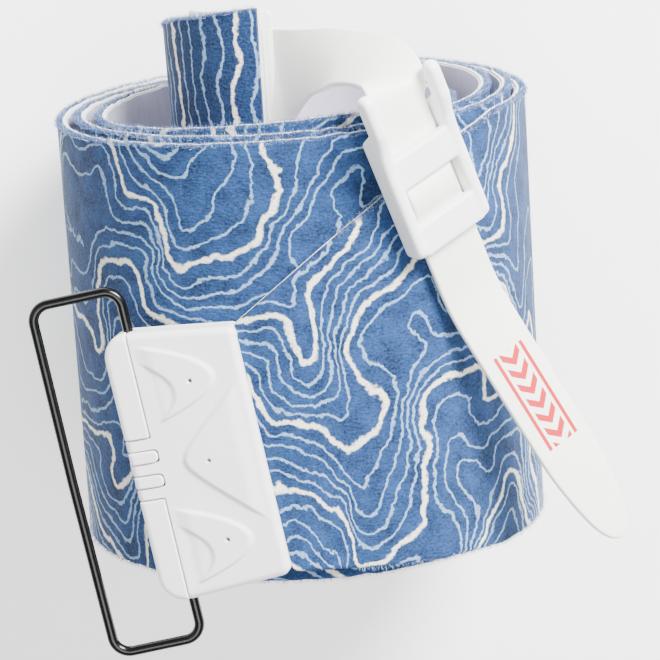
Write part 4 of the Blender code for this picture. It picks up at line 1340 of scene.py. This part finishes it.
class SKIN_OT_buckle(bpy.types.Operator):
    """Moulds the buckle: two walls with rounded ears, a floor and two cross bars."""

    bl_idname = "skin.buckle"
    bl_label = "Buckle"

    def execute(self, context):
        strap = context.scene.strap
        inner = strap.width / 2 + STRAP_ROOM
        outer = inner + WALL_THICKNESS
        low, high = WALL_FOOT, WALL_TOP
        under = strap.thickness / 2 + STRAP_ROOM
        thing = rounded_box("slide_buckle_frame", (-inner - 0.001, BUCKLE_END + 0.0005, low),
                            (inner + 0.001, FLOOR_REACH, low + FLOOR_THICKNESS), 0.0004, 2)
        for start, end, ear in ((-outer, -inner, EAR_REACHES[0]), (inner, outer, EAR_REACHES[1])):
            combine(thing, "UNION", self.wall(start, end, low, high, ear, under))
        for start, end in BAR_SPANS:
            bar = rounded_box("bar", (-inner - 0.0015, start, under),
                              (inner + 0.0015, end, under + BAR_THICKNESS), 0.0009, 3)
            combine(thing, "UNION", bar)
        mould(thing, strap.voxel, 7)
        place(thing, BUCKLE_FRAME, bpy.data.materials["moulded_white_shell"])
        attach(thing, "slide_buckle")
        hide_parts("buckle")
        return {"FINISHED"}

    def wall(self, start, end, low, high, ear, under):
        """One side wall, whose ear stands above it past the first bar."""
        nose = under + 0.0010
        high += EAR_RISE
        middle, round_off = (nose + high) / 2, (high - nose) / 2
        outline = [(BUCKLE_END, low + 0.001), (BUCKLE_END + 0.001, low), (FLOOR_REACH, low), (0.0098, nose)]
        outline += arc((ear - round_off, middle), round_off, -90, 90, 10)
        outline += [(0.0090, high), (0.0030, high - EAR_RISE * 0.75), (-0.0030, high - EAR_RISE)]
        high -= EAR_RISE
        outline += arc((BUCKLE_END + 0.0026, high - 0.0026), 0.0026, 90, 180, 5)
        points = [(x, y, z) for x in (start, end) for y, z in outline]
        thing = faces_to_object("wall", points, loft_faces(2, len(outline)))
        bevel_edges(thing, 0.0016, 5, lambda e: abs(e.verts[0].co.x - e.verts[1].co.x) < 1e-6)
        return thing


# --- stage ---------------------------------------------------------------------------------------

CAMERA_TARGET = Vector((-0.0085, 0.0090, 0.0624))
CAMERA_DISTANCE = 0.950
CAMERA_PITCH, CAMERA_ROLL = 14.0, 3.6
CAMERA_LENS = 167.1
# Each light's direction as shares of the camera's right, up and back, its distance, size and power.
LIGHTS = (
    ("key", (0.65, 0.80, 1.15), 1.3, 0.55, 88.0),
    ("fill", (-1.0, 0.1, 1.2), 1.5, 1.2, 3.0),
    ("front", (0.1, -0.6, 1.3), 1.6, 1.2, 26.0),
)
FLOOR_HALF, FLOOR_DROP, FLOOR_GLOW, WORLD_STRENGTH = 3.0, 0.0002, 0.75, 0.38


def camera_axes():
    """The camera's right, up and back directions: it looks down on the roll from its strap end."""
    pitch, roll = math.radians(CAMERA_PITCH), math.radians(CAMERA_ROLL)
    back = Vector((0, -math.sin(pitch), math.cos(pitch)))
    level, upright = Vector((-1, 0, 0)), Vector((0, -math.cos(pitch), -math.sin(pitch)))
    right = level * math.cos(roll) - upright * math.sin(roll)
    up = upright * math.cos(roll) + level * math.sin(roll)
    return right, up, back


def area_light(name, direction, distance, size, power):
    data = bpy.data.lights.new(name, "AREA")
    data.shape = "DISK"
    data.size = size
    data.energy = power
    thing = bpy.data.objects.new(name, data)
    bpy.context.scene.collection.objects.link(thing)
    thing.location = CAMERA_TARGET + direction.normalized() * distance
    thing.rotation_euler = direction.to_track_quat("Z", "Y").to_euler()


class SKIN_OT_stage(bpy.types.Operator):
    """Sets the pale floor, the soft studio lights and the camera."""

    bl_idname = "skin.stage"
    bl_label = "Stage"

    def execute(self, context):
        material, _, shader = new_material("pale_floor", Roughness=0.9, Specular_IOR_Level=0.1)
        shader.inputs["Base Color"].default_value = srgb("#FBFBFB")
        shader.inputs["Emission Color"].default_value = srgb("#FFFFFF")
        shader.inputs["Emission Strength"].default_value = FLOOR_GLOW
        corners = ((-1, -1), (1, -1), (1, 1), (-1, 1))
        points = [(x * FLOOR_HALF, y * FLOOR_HALF, -FLOOR_DROP) for x, y in corners]
        floor = faces_to_object("floor", points, [(0, 1, 2, 3)])
        floor.data.materials.append(material)
        right, up, back = camera_axes()
        data = bpy.data.cameras.new("camera")
        data.lens = CAMERA_LENS
        data.sensor_width = 36.0
        data.clip_start = 0.05
        camera = bpy.data.objects.new("camera", data)
        context.scene.collection.objects.link(camera)
        axes = Matrix((right, up, back)).transposed().to_4x4()
        camera.matrix_world = Matrix.Translation(CAMERA_TARGET + back * CAMERA_DISTANCE) @ axes
        context.scene.camera = camera
        for name, shares, distance, size, power in LIGHTS:
            direction = right * shares[0] + up * shares[1] + back * shares[2]
            area_light(name, direction, distance, size, power)
        world = context.scene.world or bpy.data.worlds.new("World")
        context.scene.world = world
        world.use_nodes = True
        background = world.node_tree.nodes.get("Background")
        background.inputs[0].default_value = srgb("#FFFFFF")
        background.inputs[1].default_value = WORLD_STRENGTH
        return {"FINISHED"}


class SKIN_PT_panel(bpy.types.Panel):
    """Lists the climbing skin's pieces and sizes."""

    bl_idname = "SKIN_PT_panel"
    bl_label = "Climbing Skin"
    bl_space_type = "VIEW_3D"
    bl_region_type = "UI"
    bl_category = "Climbing Skin"

    def draw(self, context):
        layout = self.layout
        for group in (context.scene.skin, context.scene.bracket, context.scene.strap):
            box_layout = layout.box()
            for name in group.__annotations__:
                box_layout.prop(group, name)
        for operator in OPERATORS:
            layout.operator(operator.bl_idname)


OPERATORS = (SKIN_OT_stage, SKIN_OT_wound_skin, SKIN_OT_skin_tip, SKIN_OT_edge_fibres,
             SKIN_OT_tip_bracket, SKIN_OT_wire_bail, SKIN_OT_tail_strap, SKIN_OT_buckle)
CLASSES = (SkinSizes, BracketSizes, StrapSizes, *OPERATORS, SKIN_PT_panel)


def register():
    for cls in CLASSES:
        bpy.utils.register_class(cls)
    bpy.types.Scene.skin = PointerProperty(type=SkinSizes)
    bpy.types.Scene.bracket = PointerProperty(type=BracketSizes)
    bpy.types.Scene.strap = PointerProperty(type=StrapSizes)


def unregister():
    del bpy.types.Scene.strap, bpy.types.Scene.bracket, bpy.types.Scene.skin
    for cls in reversed(CLASSES):
        bpy.utils.unregister_class(cls)


def main():
    register()
    bpy.ops.skin.stage()
    bpy.ops.skin.wound_skin()
    bpy.ops.skin.skin_tip()
    bpy.ops.skin.edge_fibres()
    bpy.ops.skin.tip_bracket()
    bpy.ops.skin.wire_bail()
    bpy.ops.skin.tail_strap()
    bpy.ops.skin.buckle()


if __name__ == "__main__":
    main()
